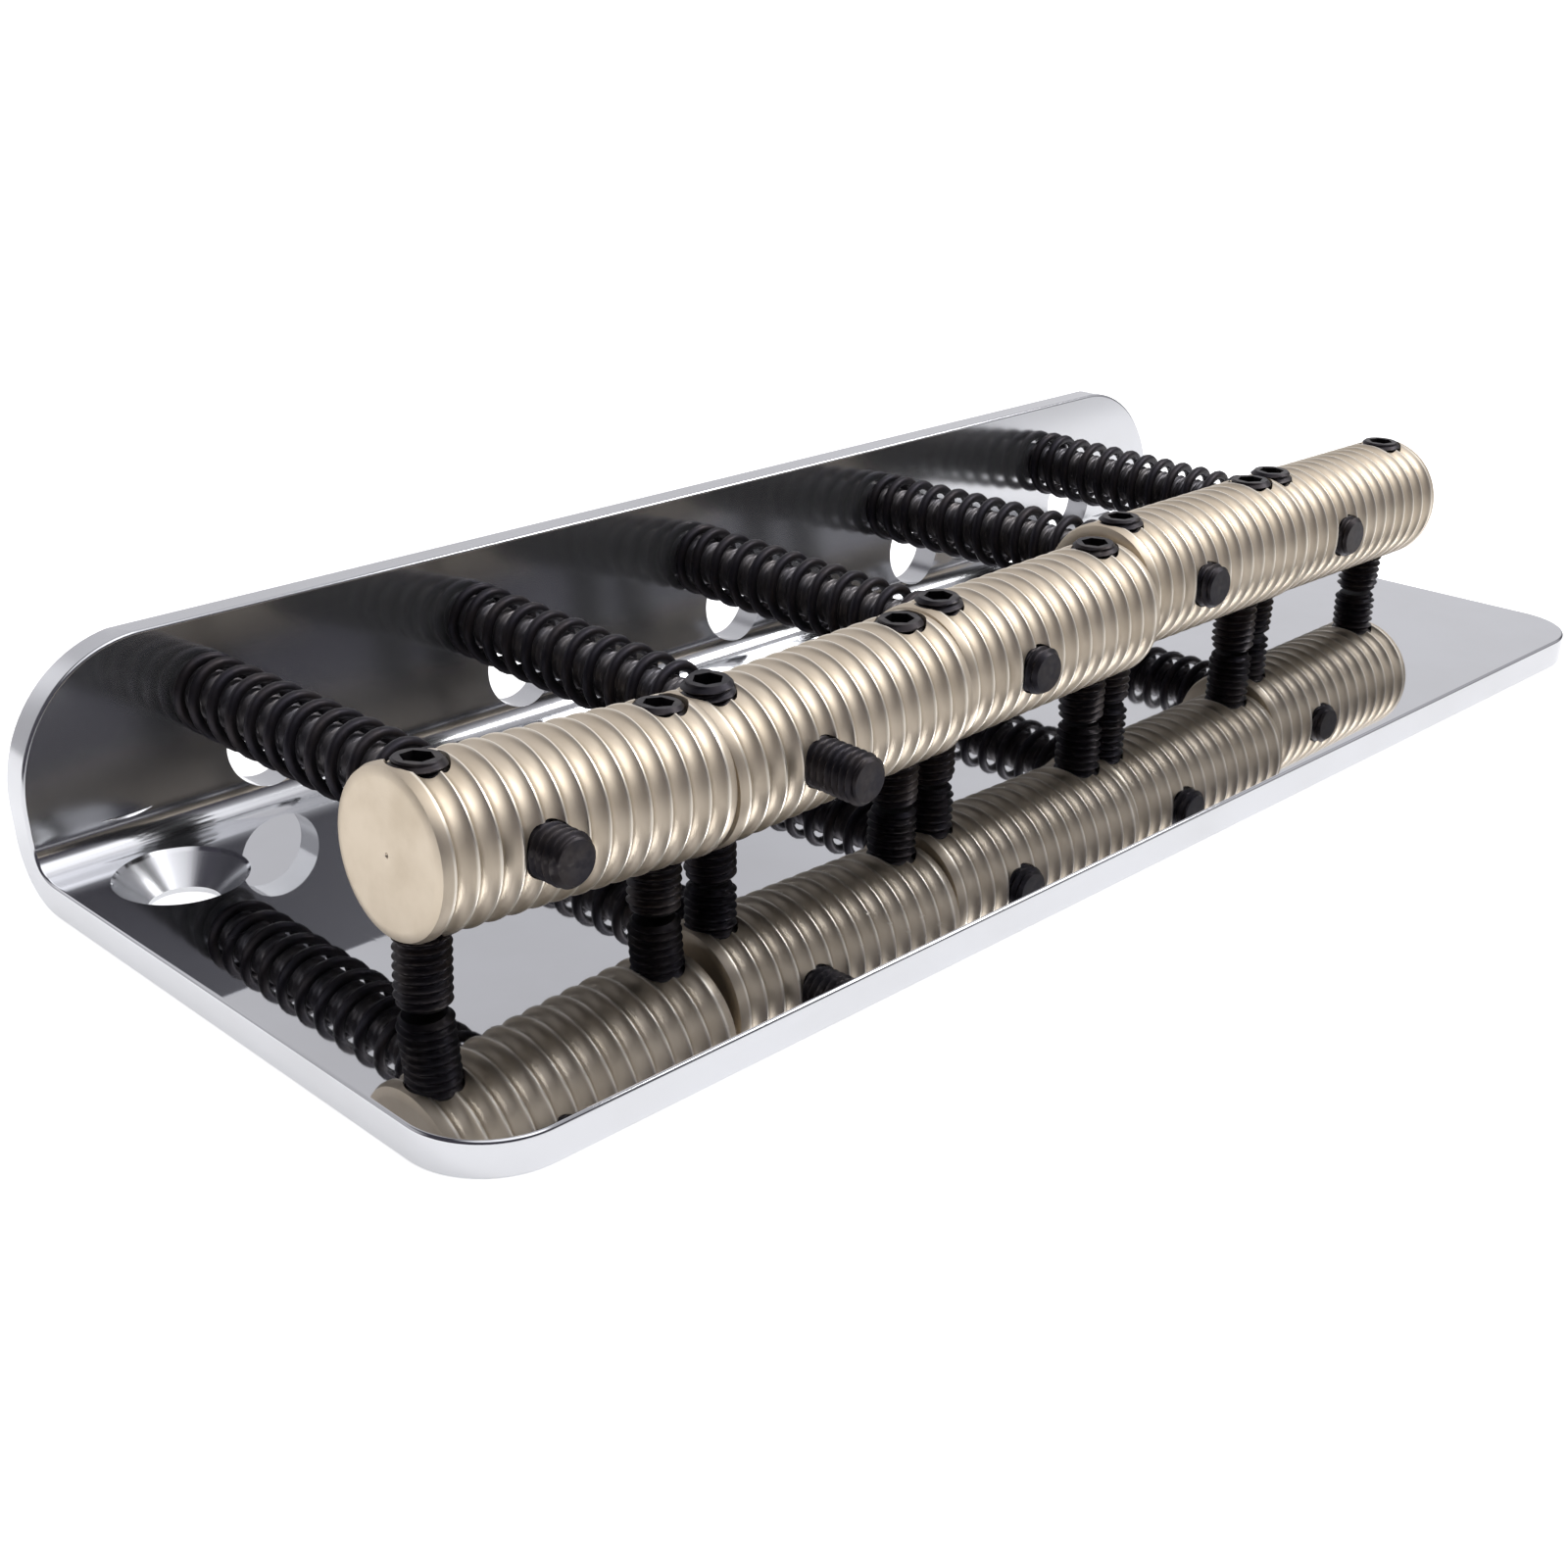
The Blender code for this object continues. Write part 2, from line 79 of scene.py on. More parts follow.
STRINGS = sorted(int(name.split("_")[1]) for name in frame["bodies"] if name.startswith("saddle_"))
joints = {joint["name"]: joint for joint in frame["record"]["behaviour"]["joints"]}

# %% [markdown]
# ## Where each string's parts lie
#
# A saddle swings about its screw's hole in the wall, slides along the screw and is
# rolled about it. That could be typed in, but the joints hold it already: the hinge
# gives the hole, the screw's axis the slope, and the height screws' axis the roll. So
# each string gets a frame of three unit vectors: across the row, back and up.

# %% Frames of the strings
SCREW_OFFSET = 2.9 * MM


def string_frame(number):
    """Return the hole, the three unit vectors and the barrel's middle of one string."""
    hole = np.array(joints[f"saddle_{number}_height"]["pos_m"])
    back = -np.array(joints[f"saddle_{number}_intonation"]["axis"])
    up = np.array(joints[f"height_screw_{number}_high_string_side_travel"]["axis"])
    back /= np.linalg.norm(back)
    up /= np.linalg.norm(up)
    across = np.cross(back, up)
    middle = np.mean(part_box(f"saddle_{number}"), axis=0)
    reach = (hole - middle) @ back
    return {"hole": hole, "across": across, "back": back, "up": up, "middle": middle, "reach": reach}


frames = {number: string_frame(number) for number in STRINGS}
for number, place in frames.items():
    print("string", number, "reach", round(place["reach"] / MM, 2), "mm")

# %% [markdown]
# ## From arrays to meshes
#
# Turned, drawn and wound pieces are all swept shapes, so a surface here is a grid of
# points: rows run one way, columns the other. One helper joins the grid into four-sided
# faces, closes it round where it is a tube, and puts a point at each open end to close
# the caps. Curves or modifiers could sweep them too, but an array keeps each size in one
# named value. Faces point outwards when the first row lies at the low end of the axis.

# %% Mesh helpers
SHARP_FROM_DEG = 35


def read(items, attribute, width=1, kind=float):
    """Return one attribute of a mesh's points, corners or faces as an array, a row for each."""
    values = np.zeros(width * len(items), dtype=kind)
    items.foreach_get(attribute, values)
    return values.reshape(-1, width) if width > 1 else values


def grid_faces(rows, columns):
    """Return the quads of a grid of points whose last column joins its first."""
    row, column = np.meshgrid(np.arange(rows - 1), np.arange(columns), indexing="ij")
    after = (column + 1) % columns
    quads = np.stack((row * columns + column, row * columns + after, (row + 1) * columns + after,
                      (row + 1) * columns + column), axis=-1)
    return quads.reshape(-1, 4)


def mesh_object(name, points, faces):
    """Make an object from an array of points and lists of faces, smooth but for its sharp edges."""
    mesh = bpy.data.meshes.new(name)
    mesh.from_pydata(points.reshape(-1, 3).tolist(), [], faces)
    mesh.validate()
    mesh.shade_smooth()
    mesh.set_sharp_from_angle(angle=math.radians(SHARP_FROM_DEG))
    obj = bpy.data.objects.new(name, mesh)
    bpy.context.scene.collection.objects.link(obj)
    return obj


def tube_object(name, rings):
    """Make a closed body from an array of rings, each one a row of points, capped at both ends."""
    rows, columns, _ = rings.shape
    caps = np.stack((rings[0].mean(axis=0), rings[-1].mean(axis=0)))
    points = np.concatenate((rings.reshape(-1, 3), caps))
    faces = grid_faces(rows, columns).tolist()
    start_pole = rows * columns
    last_row = (rows - 1) * columns
    for column in range(columns):
        after = (column + 1) % columns
        faces.append([start_pole, after, column])
        faces.append([start_pole + 1, last_row + column, last_row + after])
    return mesh_object(name, points, faces)


def place_rings(rings, origin, x_axis, y_axis, z_axis):
    """Carry rings from local axes into the frame of a string."""
    return origin + rings[..., 0:1] * x_axis + rings[..., 1:2] * y_axis + rings[..., 2:3] * z_axis


def revolve(radii, heights, sides):
    """Return rings of a turned body: a radius and a height along Z for each row or each point."""
    angle = np.linspace(0, 2 * math.pi, sides, endpoint=False)
    radii, heights = (np.reshape(values, (len(values), -1)) for values in (radii, heights))
    return np.stack((radii * np.cos(angle), radii * np.sin(angle), heights + 0 * angle), axis=-1)


print("a grid of 3 by 8 points has", len(grid_faces(3, 8)), "faces")

# %% [markdown]
# ## Cutting
#
# Corners and holes are cut with tool bodies, as a press or a drill does it. Boolean
# modifiers do that to any mesh. They are made part of the mesh at once, because the
# normals that are set later need the final faces. The holes could be laid out in the
# grids instead, with neater faces, but then every hole would need its own layout.

# %% Cutting helpers


def settle(obj, keep_normals=False):
    """Make the modifiers part of the mesh, and mark sharp edges again or keep worked-out normals."""
    bpy.context.view_layer.update()
    graph = bpy.context.evaluated_depsgraph_get()
    solved = obj.evaluated_get(graph)
    mesh = bpy.data.meshes.new_from_object(
        solved, preserve_all_data_layers=keep_normals, depsgraph=graph)
    obj.modifiers.clear()
    obj.data = mesh
    if not keep_normals:
        mesh.shade_smooth()
        mesh.set_sharp_from_angle(angle=math.radians(SHARP_FROM_DEG))


def cut_away(obj, tools):
    """Take the tools away from the object, and then remove them."""
    for tool in tools:
        cutting = obj.modifiers.new(tool.name, "BOOLEAN")
        cutting.operation = "DIFFERENCE"
        cutting.object = tool
    settle(obj)
    for tool in tools:
        bpy.data.objects.remove(tool)


def round_edges(obj, name, width, segments, over_deg):
    """Round the edges where the surface turns by more than an angle."""
    rounding = obj.modifiers.new(name, "BEVEL")
    rounding.width, rounding.segments = width, segments
    rounding.angle_limit = math.radians(over_deg)
    settle(obj)


print("edges are sharp from", SHARP_FROM_DEG, "degrees")

# %% [markdown]
# ## Finishes
#
# Three finishes cover the bridge. Chrome is almost a mirror, so its detail lies in
# faint smears and hair-thin wiping scratches. The barrels are satin nickel with fine
# lines left by the lathe. Screws and springs are blackened steel: dark, a little oily,
# with a brown bloom and worn, brighter crests. Pictures could hold such marks, but noise
# over the object's own coordinates has no seams and stays sharp from close by.

# %% Node helpers


def new_group(name, inputs, outputs):
    """Make an empty node group with a vector, numbers as further inputs, and numbers as outputs."""
    group = bpy.data.node_groups.new(name, "ShaderNodeTree")
    group.interface.new_socket("Vector", in_out="INPUT", socket_type="NodeSocketVector")
    for label, value in inputs.items():
        socket = group.interface.new_socket(label, in_out="INPUT", socket_type="NodeSocketFloat")
        socket.default_value = value
    for label in outputs:
        group.interface.new_socket(label, in_out="OUTPUT", socket_type="NodeSocketFloat")
    return group, group.nodes.new("NodeGroupInput"), group.nodes.new("NodeGroupOutput")


def feed(tree, node, *values):
    """Feed a node's inputs in order with sockets or plain values, and leave those with None."""
    for socket, value in zip(node.inputs, values):
        if isinstance(value, bpy.types.NodeSocket):
            tree.links.new(value, socket)
        elif value is not None:
            socket.default_value = value
    return node


def add_node(tree, kind, *values, **settings):
    """Add a node, set its properties, and feed its inputs in order."""
    node = tree.nodes.new(kind)
    for name, setting in settings.items():
        setattr(node, name, setting)
    return feed(tree, node, *values)


def math_node(tree, operation, *values, clamp=False):
    """Add a math node and return its output."""
    return add_node(tree, "ShaderNodeMath", *values, operation=operation, use_clamp=clamp).outputs[0]


def split(tree, vector):
    """Return the X, Y and Z of a vector as three outputs."""
    return add_node(tree, "ShaderNodeSeparateXYZ", vector).outputs


def noise_node(tree, vector, scale, detail=3.0, roughness=0.5):
    """Add a noise texture over a vector and return its value."""
    values = (vector, None, scale, detail, roughness)
    return add_node(tree, "ShaderNodeTexNoise", *values).outputs["Fac"]


def stretched(tree, vector, factors, turn=(0, 0, 0)):
    """Return the vector scaled by three factors, after a turn."""
    return add_node(tree, "ShaderNodeMapping", vector, None, turn, factors).outputs["Vector"]


def ramp(tree, value, low, high, low_out=0.0, high_out=1.0):
    """Return a smooth step of the value between two limits, mapped to two results."""
    values = (value, low, high, low_out, high_out)
    return add_node(tree, "ShaderNodeMapRange", *values, interpolation_type="SMOOTHSTEP").outputs[0]


print("node helpers: group, feed, maths, split, noise, stretch and ramp")

# %% [markdown]
# ### Shared effects
#
# Hands and cloths leave the same marks on every finish: soft smears, and scratches as
# thin as hair. Rubbing also lays bare whatever sticks out. Nodes could be copied into
# each finish, but one node group for each effect is changed in one place.

# %% Shared effects
SMEARED = (0.35, 0.75)
# Each way of wiping: how the noise is stretched and turned, and where a scratch starts in it
WIPED = (((1.0, 0.04, 1.0), (0.2, 0.1, 0.5), 0.66), ((0.05, 1.0, 1.0), (0.1, 0.3, -0.2), 0.68))
SCRATCH_EDGE = 0.08
BULGING = (0.52, 0.62)
WORN_PATCHES = (0.35, 0.65)


def make_smears():
    """Group: soft smears and fine wiping scratches, as two masks from 0 to 1."""
    inputs = {"Smear Scale": 120.0, "Scratch Scale": 900.0}
    group, start, end = new_group("smears and scratches", inputs, ("Smears", "Scratches"))
    vector = start.outputs["Vector"]
    smears = noise_node(group, vector, start.outputs["Smear Scale"], detail=4.0, roughness=0.6)
    wipes = []
    for factors, turn, scratched_from in WIPED:
        way = stretched(group, vector, factors, turn)
        value = noise_node(group, way, start.outputs["Scratch Scale"], 2.0)
        wipes.append(ramp(group, value, scratched_from, scratched_from + SCRATCH_EDGE))
    feed(group, end, ramp(group, smears, *SMEARED), math_node(group, "MAXIMUM", *wipes))
    return group


def make_edge_wear():
    """Group: where a surface bulges outwards, with a broken border, as a mask from 0 to 1."""
    inputs = {"Amount": 0.5, "Break Up Scale": 700.0}
    group, start, end = new_group("worn edges", inputs, ("Wear",))
    bulge = group.nodes.new("ShaderNodeNewGeometry").outputs["Pointiness"]
    patches = noise_node(group, start.outputs["Vector"], start.outputs["Break Up Scale"])
    edges, broken = ramp(group, bulge, *BULGING), ramp(group, patches, *WORN_PATCHES)
    broken_edges = math_node(group, "MULTIPLY", edges, broken)
    feed(group, end, math_node(group, "MULTIPLY", broken_edges, start.outputs["Amount"], clamp=True))
    return group


SMEARS = make_smears()
EDGE_WEAR = make_edge_wear()
print("shared effects:", SMEARS.name, "and", EDGE_WEAR.name)

# %% Material helpers


def new_material(name):
    """Return a new node material, its shader and the object's own coordinates.

    The shader's first inputs are its colour, how metallic it is, and its roughness.
    """
    material = bpy.data.materials.new(name)
    material.use_nodes = True
    tree = material.node_tree
    shader = tree.nodes["Principled BSDF"]
    place = tree.nodes.new("ShaderNodeTexCoord").outputs["Object"]
    return material, tree, shader, place


def use_group(tree, group, vector, **values):
    """Place a shared effect, give it its vector and its numbers, and return its outputs."""
    node = tree.nodes.new("ShaderNodeGroup")
    node.node_tree = group
    feed(tree, node, vector)
    for label, value in values.items():
        node.inputs[label.replace("_", " ").title()].default_value = value
    return node.outputs


def blend_colours(tree, mask, first, second):
    """Return a colour that goes from the first to the second as the mask goes from 0 to 1."""
    colours = ((*value, 1.0) if isinstance(value, tuple) else value for value in (first, second))
    return add_node(tree, "ShaderNodeMix", mask, *[None] * 5, *colours, data_type="RGBA").outputs[2]


def bumps(tree, shader, height, depth):
    """Raise the surface by a height map, in metres of depth, for its shading only."""
    node = add_node(tree, "ShaderNodeBump", 1.0, depth, None, height)
    tree.links.new(node.outputs["Normal"], shader.inputs["Normal"])


print("the frame's slots:", ", ".join(material.name for material in bpy.data.materials))

# %% [markdown]
# ### Polished chrome
#
# Chrome reflects a little over half of the light, with a cool tint. The base is almost
# a mirror. The wall is hard to polish behind the bend, so it is hazier and keeps a thin
# film, and the cut edges and countersinks are hazier still. These could be three
# materials, but the haze changes gradually, so ramps over the object's coordinates
# drive one. Smears and scratches only show in a highlight.

# %% Chrome
SHEET = 2.0 * MM
CHROME_COLOUR = (0.600, 0.607, 0.628)
CHROME_SMEARED = (0.575, 0.580, 0.595)
MIRROR_ROUGHNESS = 0.02
MARK_ROUGHNESS = 0.02
SCRATCH_DEPTH = 0.4e-6
WALL_ROUGHNESS = 0.13
WALL_FILM = 0.09
EDGE_ROUGHNESS = 0.24
# Where haze and film set in, by the sum of Y and Z, and where cut faces end, by Z
HAZE_AT = (17.5 * MM, 19.0 * MM)
FILM_AT = (19.5 * MM, 23.5 * MM)
CUT_FACES_AT = (SHEET - 0.25 * MM, SHEET - 0.05 * MM)


def make_chrome():
    """Make the sheet's polished chrome."""
    material, tree, shader, place = new_material("polished_chrome")
    marks = use_group(tree, SMEARS, place, smear_scale=90.0, scratch_scale=1400.0)
    colour = blend_colours(tree, marks["Smears"], CHROME_COLOUR, CHROME_SMEARED)
    apart = split(tree, place)
    up_the_bend = math_node(tree, "ADD", apart["Y"], apart["Z"])
    film = ramp(tree, up_the_bend, *FILM_AT, 1.0, 1.0 - WALL_FILM)
    wall_haze = ramp(tree, up_the_bend, *HAZE_AT, MIRROR_ROUGHNESS, WALL_ROUGHNESS)
    cut_haze = ramp(tree, apart["Z"], *CUT_FACES_AT, EDGE_ROUGHNESS, 0.0)
    haze = math_node(tree, "MAXIMUM", wall_haze, cut_haze)
    smeared = math_node(tree, "MULTIPLY_ADD", marks["Smears"], MARK_ROUGHNESS, haze)
    scratched = math_node(tree, "MULTIPLY_ADD", marks["Scratches"], MARK_ROUGHNESS, smeared)
    feed(tree, shader, colour, film, scratched)
    bumps(tree, shader, marks["Scratches"], -SCRATCH_DEPTH)
    return material


CHROME = make_chrome()
print(CHROME.name, "nodes", len(CHROME.node_tree.nodes))

# %% [markdown]
# ### Satin nickel
#
# The barrels are a warm, champagne-coloured nickel. A lathe leaves lines round them,
# so the pattern must run along the barrel and not along the world. Each barrel's UV map
# holds the distance along it and the way round it, in millimetres, and the lines read
# that map. The crests between the grooves get a painted highlight, a paler colour, and
# a lower roughness, and the same map finds them. Edge wear could find them too, but it
# would also brighten the drilled rims.

# %% Nickel
NICKEL_COLOUR = (0.66, 0.575, 0.46)
NICKEL_DULL = (0.60, 0.515, 0.40)
NICKEL_CREST_HIGHLIGHT = (0.93, 0.86, 0.74)
GROOVE_PITCH = 1.3 * MM
CREST_SHINE = (0.03, 0.15)
CREST_POLISH = 0.10
GROOVES_END = (8.55, 8.60)
NICKEL_ROUGHNESS = 0.42
LATHE_STRETCH = (9.0, 0.03, 1.0)
LATHE_SCALE = 2.0
LATHE_ROUGHNESS = 0.10
LATHE_DEPTH = 3e-6
NICKEL_SMEAR = 0.05


def crest_mask(tree, along):
    """Return 1 on the crests between the grooves and 0 off them.

    Crests lie half a pitch off every whole number of pitches from the barrel's middle. The distance
    to the nearest one is the pitch times the fraction of the pitches, less a half, without its sign.
    """
    pitches = math_node(tree, "DIVIDE", along, GROOVE_PITCH / MM)
    centred = math_node(tree, "SUBTRACT", math_node(tree, "FRACT", pitches), 0.5)
    off = math_node(tree, "ABSOLUTE", centred)
    near = ramp(tree, math_node(tree, "MULTIPLY", off, GROOVE_PITCH / MM), *CREST_SHINE, 1.0, 0.0)
    grooved = ramp(tree, math_node(tree, "ABSOLUTE", along), *GROOVES_END, 1.0, 0.0)
    return math_node(tree, "MULTIPLY", near, grooved)


def make_nickel():
    """Make the barrels' satin nickel with its lathe lines and a painted highlight on its crests."""
    material, tree, shader, place = new_material("satin_nickel")
    along = add_node(tree, "ShaderNodeUVMap", uv_map="Along").outputs["UV"]
    crests = crest_mask(tree, split(tree, along)["X"])
    lines_at = stretched(tree, along, LATHE_STRETCH)
    lines = noise_node(tree, lines_at, LATHE_SCALE, detail=4.0, roughness=0.7)
    marks = use_group(tree, SMEARS, place, smear_scale=260.0, scratch_scale=1800.0)
    dulled = blend_colours(tree, marks["Smears"], NICKEL_COLOUR, NICKEL_DULL)
    # Painted highlight: the crests are coloured much paler than the nickel.
    colour = blend_colours(tree, crests, dulled, NICKEL_CREST_HIGHLIGHT)
    rough = math_node(tree, "MULTIPLY_ADD", lines, LATHE_ROUGHNESS, NICKEL_ROUGHNESS)
    smeared = math_node(tree, "MULTIPLY_ADD", marks["Smears"], NICKEL_SMEAR, rough)
    polished = math_node(tree, "MULTIPLY_ADD", crests, -CREST_POLISH, smeared)
    feed(tree, shader, colour, 1.0, polished)
    bumps(tree, shader, lines, LATHE_DEPTH)
    return material


NICKEL = make_nickel()
print(NICKEL.name, "nodes", len(NICKEL.node_tree.nodes))

# %% [markdown]
# ### Blackened steel
#
# Black oxide is a thin skin on the steel, dark with a trace of purple and brown. Paint
# would be a plain dark colour, but this skin is oily and thin, so it stays metallic and
# its crests wear a little brighter. The long screws get a paler tone: a painted highlight.

# %% Blackened steel
OXIDE_METALLIC = 0.85
WORN_STEEL = (0.20, 0.185, 0.175)
WEAR_SCALE = 2500.0
BLOOM_SCALE = 500.0
GRAIN_SCALE = 5000.0
GRAIN_ROUGHNESS = 0.14
GRAIN_DEPTH = 3e-6
BLOOM = (0.35, 0.7)


def make_blackened(name, dark, brown, roughness, wear_amount):
    """Make black oxide for the screws or the springs, between a dark tone and a brown one."""
    material, tree, shader, place = new_material(name)
    bloom = noise_node(tree, place, BLOOM_SCALE, detail=4.0, roughness=0.6)
    black = blend_colours(tree, ramp(tree, bloom, *BLOOM), dark, brown)
    wear = use_group(tree, EDGE_WEAR, place, amount=wear_amount, break_up_scale=WEAR_SCALE)["Wear"]
    colour = blend_colours(tree, wear, black, WORN_STEEL)
    grain = noise_node(tree, place, GRAIN_SCALE, detail=2.0)
    rough = math_node(tree, "MULTIPLY_ADD", grain, GRAIN_ROUGHNESS, roughness)
    feed(tree, shader, colour, OXIDE_METALLIC, rough)
    bumps(tree, shader, grain, GRAIN_DEPTH)
    return material


# Each finish: its name, its dark and its brown tone, its roughness and its wear
BLACK_GRUB, BLACK_SCREW_PAINTED_HIGHLIGHT, BLACK_SPRING = (make_blackened(*values) for values in (
    ("blackened_grub_screw", (0.026, 0.024, 0.030), (0.042, 0.035, 0.034), 0.36, 0.30),
    # The long screws' tones are paler than the others: a painted highlight.
    ("blackened_long_screw", (0.100, 0.097, 0.108), (0.130, 0.120, 0.120), 0.34, 0.25),
    ("blackened_spring", (0.026, 0.024, 0.031), (0.040, 0.034, 0.036), 0.38, 0.10),
))
print("black finishes:", BLACK_GRUB.name, BLACK_SCREW_PAINTED_HIGHLIGHT.name, BLACK_SPRING.name)

# %% [markdown]
# ## The bent sheet
#
# On the real bridge this is one blank, punched, bent up at the back and then plated, so
# every edge is a little soft. Seen from the side it is an L with a round bend. A flat
# plate with a bend modifier could do, but a mirror needs an exact curve. So the section
# is drawn by a formula and carried across the width as one surface. Its corners are cut
# round, its edges get a small rolled-over radius, and the holes are punched last.

# %% Sheet section
BEND_LENGTH = 3.7 * MM
BEND_STEPS = 64
WALL_LEAN = math.radians(2.6)
WALL_FLAT_FROM = 4.3 * MM
EDGE_RADIUS = 0.2 * MM
FRONT_CORNER = 4.7 * MM
WALL_CORNER = 8.5 * MM
CORNER_STEPS = 24
PUNCH_SIDES = 72
(plate_left, plate_front, _), (plate_right, plate_back, plate_top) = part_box("base_plate")
wall_foot_y = -plate_front


def wall_at(height, depth):
    """Return the wall's Y at a height, so far in from its outer face."""
    return wall_foot_y + (height - WALL_FLAT_FROM) * math.tan(WALL_LEAN) - depth / math.cos(WALL_LEAN)


def bend_lines():
    """Return the bend's inner and outer line in Y and Z, and the slope of the sheet along them.

    The slope goes from flat to upright by 3 times the square less 2 times the cube of the share of
    the bend's length, so it starts and ends gently. Adding up short steps at that slope gives the
    inner line. The outer line lies one thickness off it, square to the slope.
    """
    share = np.linspace(0, 1, BEND_STEPS + 1)
    slope = (math.pi / 2 - WALL_LEAN) * (3 * share**2 - 2 * share**3)
    middle = (slope[1:] + slope[:-1]) / 2
    steps = BEND_LENGTH / BEND_STEPS * np.stack((np.cos(middle), np.sin(middle)), axis=1)
    inner = np.concatenate((np.zeros((1, 2)), np.cumsum(steps, axis=0)))
    inner += (wall_at(SHEET + inner[-1, 1], SHEET) - inner[-1, 0], SHEET)
    outer = inner + SHEET * np.stack((np.sin(slope), -np.cos(slope)), axis=1)
    return inner, outer, slope


def sheet_section():
    """Return the closed outline of the sheet in Y and Z, against the clock from its front foot."""
    inner, outer, _ = bend_lines()
    outer_top = plate_top - SHEET * math.sin(WALL_LEAN)
    crown = [(wall_at(outer_top, 0), outer_top), (wall_at(plate_top, SHEET), plate_top)]
    return np.concatenate(([(plate_front, 0)], outer, crown, inner[::-1], [(plate_front, SHEET)]))


def prism(name, outline, low, high, plane):
    """Carry a flat outline from low to high along the axis that the plane, such as YZ, leaves out."""
    count = len(outline)
    axes = {"YZ": [1, 2, 0], "XY": [0, 1, 2], "XZ": [0, 2, 1]}[plane]
    points = np.zeros((2, count, 3))
    points[:, :, axes[:2]] = outline
    points[:, :, axes[2]] = ((low,), (high,))
    faces = grid_faces(2, count).tolist()
    faces.append(list(range(count))[::-1])
    faces.append(list(range(count, 2 * count)))
    obj = mesh_object(name, points, faces)
    after = np.roll(outline, -1, axis=0)
    area = 0.5 * np.sum(outline[:, 0] * after[:, 1] - after[:, 0] * outline[:, 1])
    if (area < 0) != (plane == "XZ"):
        obj.data.flip_normals()
    return obj


def corner_waste(x, y, radius, side, end):
    """Return what rounding a corner takes away: outside the quarter circle, inside the square."""
    middle = np.array((x - side * radius, y - end * radius))
    angle = np.linspace(0, math.pi / 2, CORNER_STEPS + 1)
    quarter = radius * np.stack((np.cos(angle), np.sin(angle)), axis=1) * (side, end) + middle
    beyond = 2 * MM
    out_x, out_y = x + side * beyond, y + end * beyond
    return np.concatenate((quarter, [(middle[0], out_y), (out_x, out_y), (out_x, middle[1])]))


def punch(name, radius, start, end):
    """Return a round punch between two points."""
    start, end = np.asarray(start, float), np.asarray(end, float)
    length = np.linalg.norm(end - start)
    along = (end - start) / length
    side = np.cross(along, (1.0, 0.0, 0.0) if abs(along[0]) < 0.5 else (0.0, 1.0, 0.0))
    side /= np.linalg.norm(side)
    other = np.cross(along, side)
    rings = revolve([radius, radius], [0, length], PUNCH_SIDES)
    return tube_object(name, place_rings(rings, start, side, other, along))


print("bend ends at y, z in mm", (bend_lines()[0][-1] / MM).round(2))

# %% [markdown]
# ### Cutting and shading the sheet
#
# The corners are cut round and every edge is rolled over before the holes are punched.
# A mirror shows each small fault in the shading, and far more faces would only make the
# faults smaller. So the broad faces and the bores get their normals from the section's
# own formula and from the bores' axes, and not from the faces that the cuts left behind.

# %% Cut, round and punch the sheet
STRING_HOLE = 2.7 * MM
STRING_HOLE_Z = SHEET + 3.7 * MM
STRING_HOLE_FROM_SCREW = SCREW_OFFSET + 0.6 * MM
SCREW_HOLE = 1.85 * MM
MOUNTING_HOLE = 2.0 * MM
COUNTERSINK = 3.76 * MM
COUNTERSINK_DEPTH = 1.7 * MM
MOUNTING_TO_WALL = 5.44 * MM
MOUNTING_TO_SIDE = 5.8 * MM
RIM_RADIUS = 0.08 * MM
# How near in direction a face lies to the exact one before it takes that normal
SAME_AS_SECTION = 0.9995
SAME_AS_BORE = 0.997
# The share of a bore's normal along its axis: at most so much if round, and about so much in a cone
ROUND_LIFT = 0.2
CONE_LIFT, CONE_SPREAD = 0.7, 0.1
BORE_REACH = 1.02


def countersunk_punch(name, x, y):
    """Return the shape of a countersunk hole, whose cone opens in the sheet's upper face."""
    radii = [MOUNTING_HOLE, MOUNTING_HOLE, COUNTERSINK, COUNTERSINK + SHEET]
    slope = (COUNTERSINK - MOUNTING_HOLE) / COUNTERSINK_DEPTH
    heights = [-SHEET, SHEET - COUNTERSINK_DEPTH, SHEET, SHEET + SHEET / slope]
    rings = revolve(radii, heights, PUNCH_SIDES)
    return tube_object(name, rings + np.array((x, y, 0.0)))


def corner_arrays(mesh):
    """Return for every corner of every face its point, its face's normal and its own normal."""
    points = read(mesh.vertices, "co", 3)[read(mesh.loops, "vertex_index", kind=np.int64)]
    sides = read(mesh.polygons, "loop_total", kind=np.int64)
    facing = np.repeat(read(mesh.polygons, "normal", 3), sides, axis=0)
    return points, facing, read(mesh.corner_normals, "vector", 3)


def shade_broad_faces(points, facing, normals):
    """Give the corners on both sides of the sheet the normal of the section there.

    The sum of Y and Z grows all along the bend, so it finds the slope. The normal is square to it.
    """
    inner, outer, slope = bend_lines()
    for line, side in ((inner, 1), (outer, -1)):
        angle = np.interp(points[:, 1] + points[:, 2], line.sum(axis=1), slope)
        exact = side * np.stack((0 * angle, -np.sin(angle), np.cos(angle)), axis=1)
        same = np.sum(facing * exact, axis=1) > SAME_AS_SECTION
        normals[same] = exact[same]


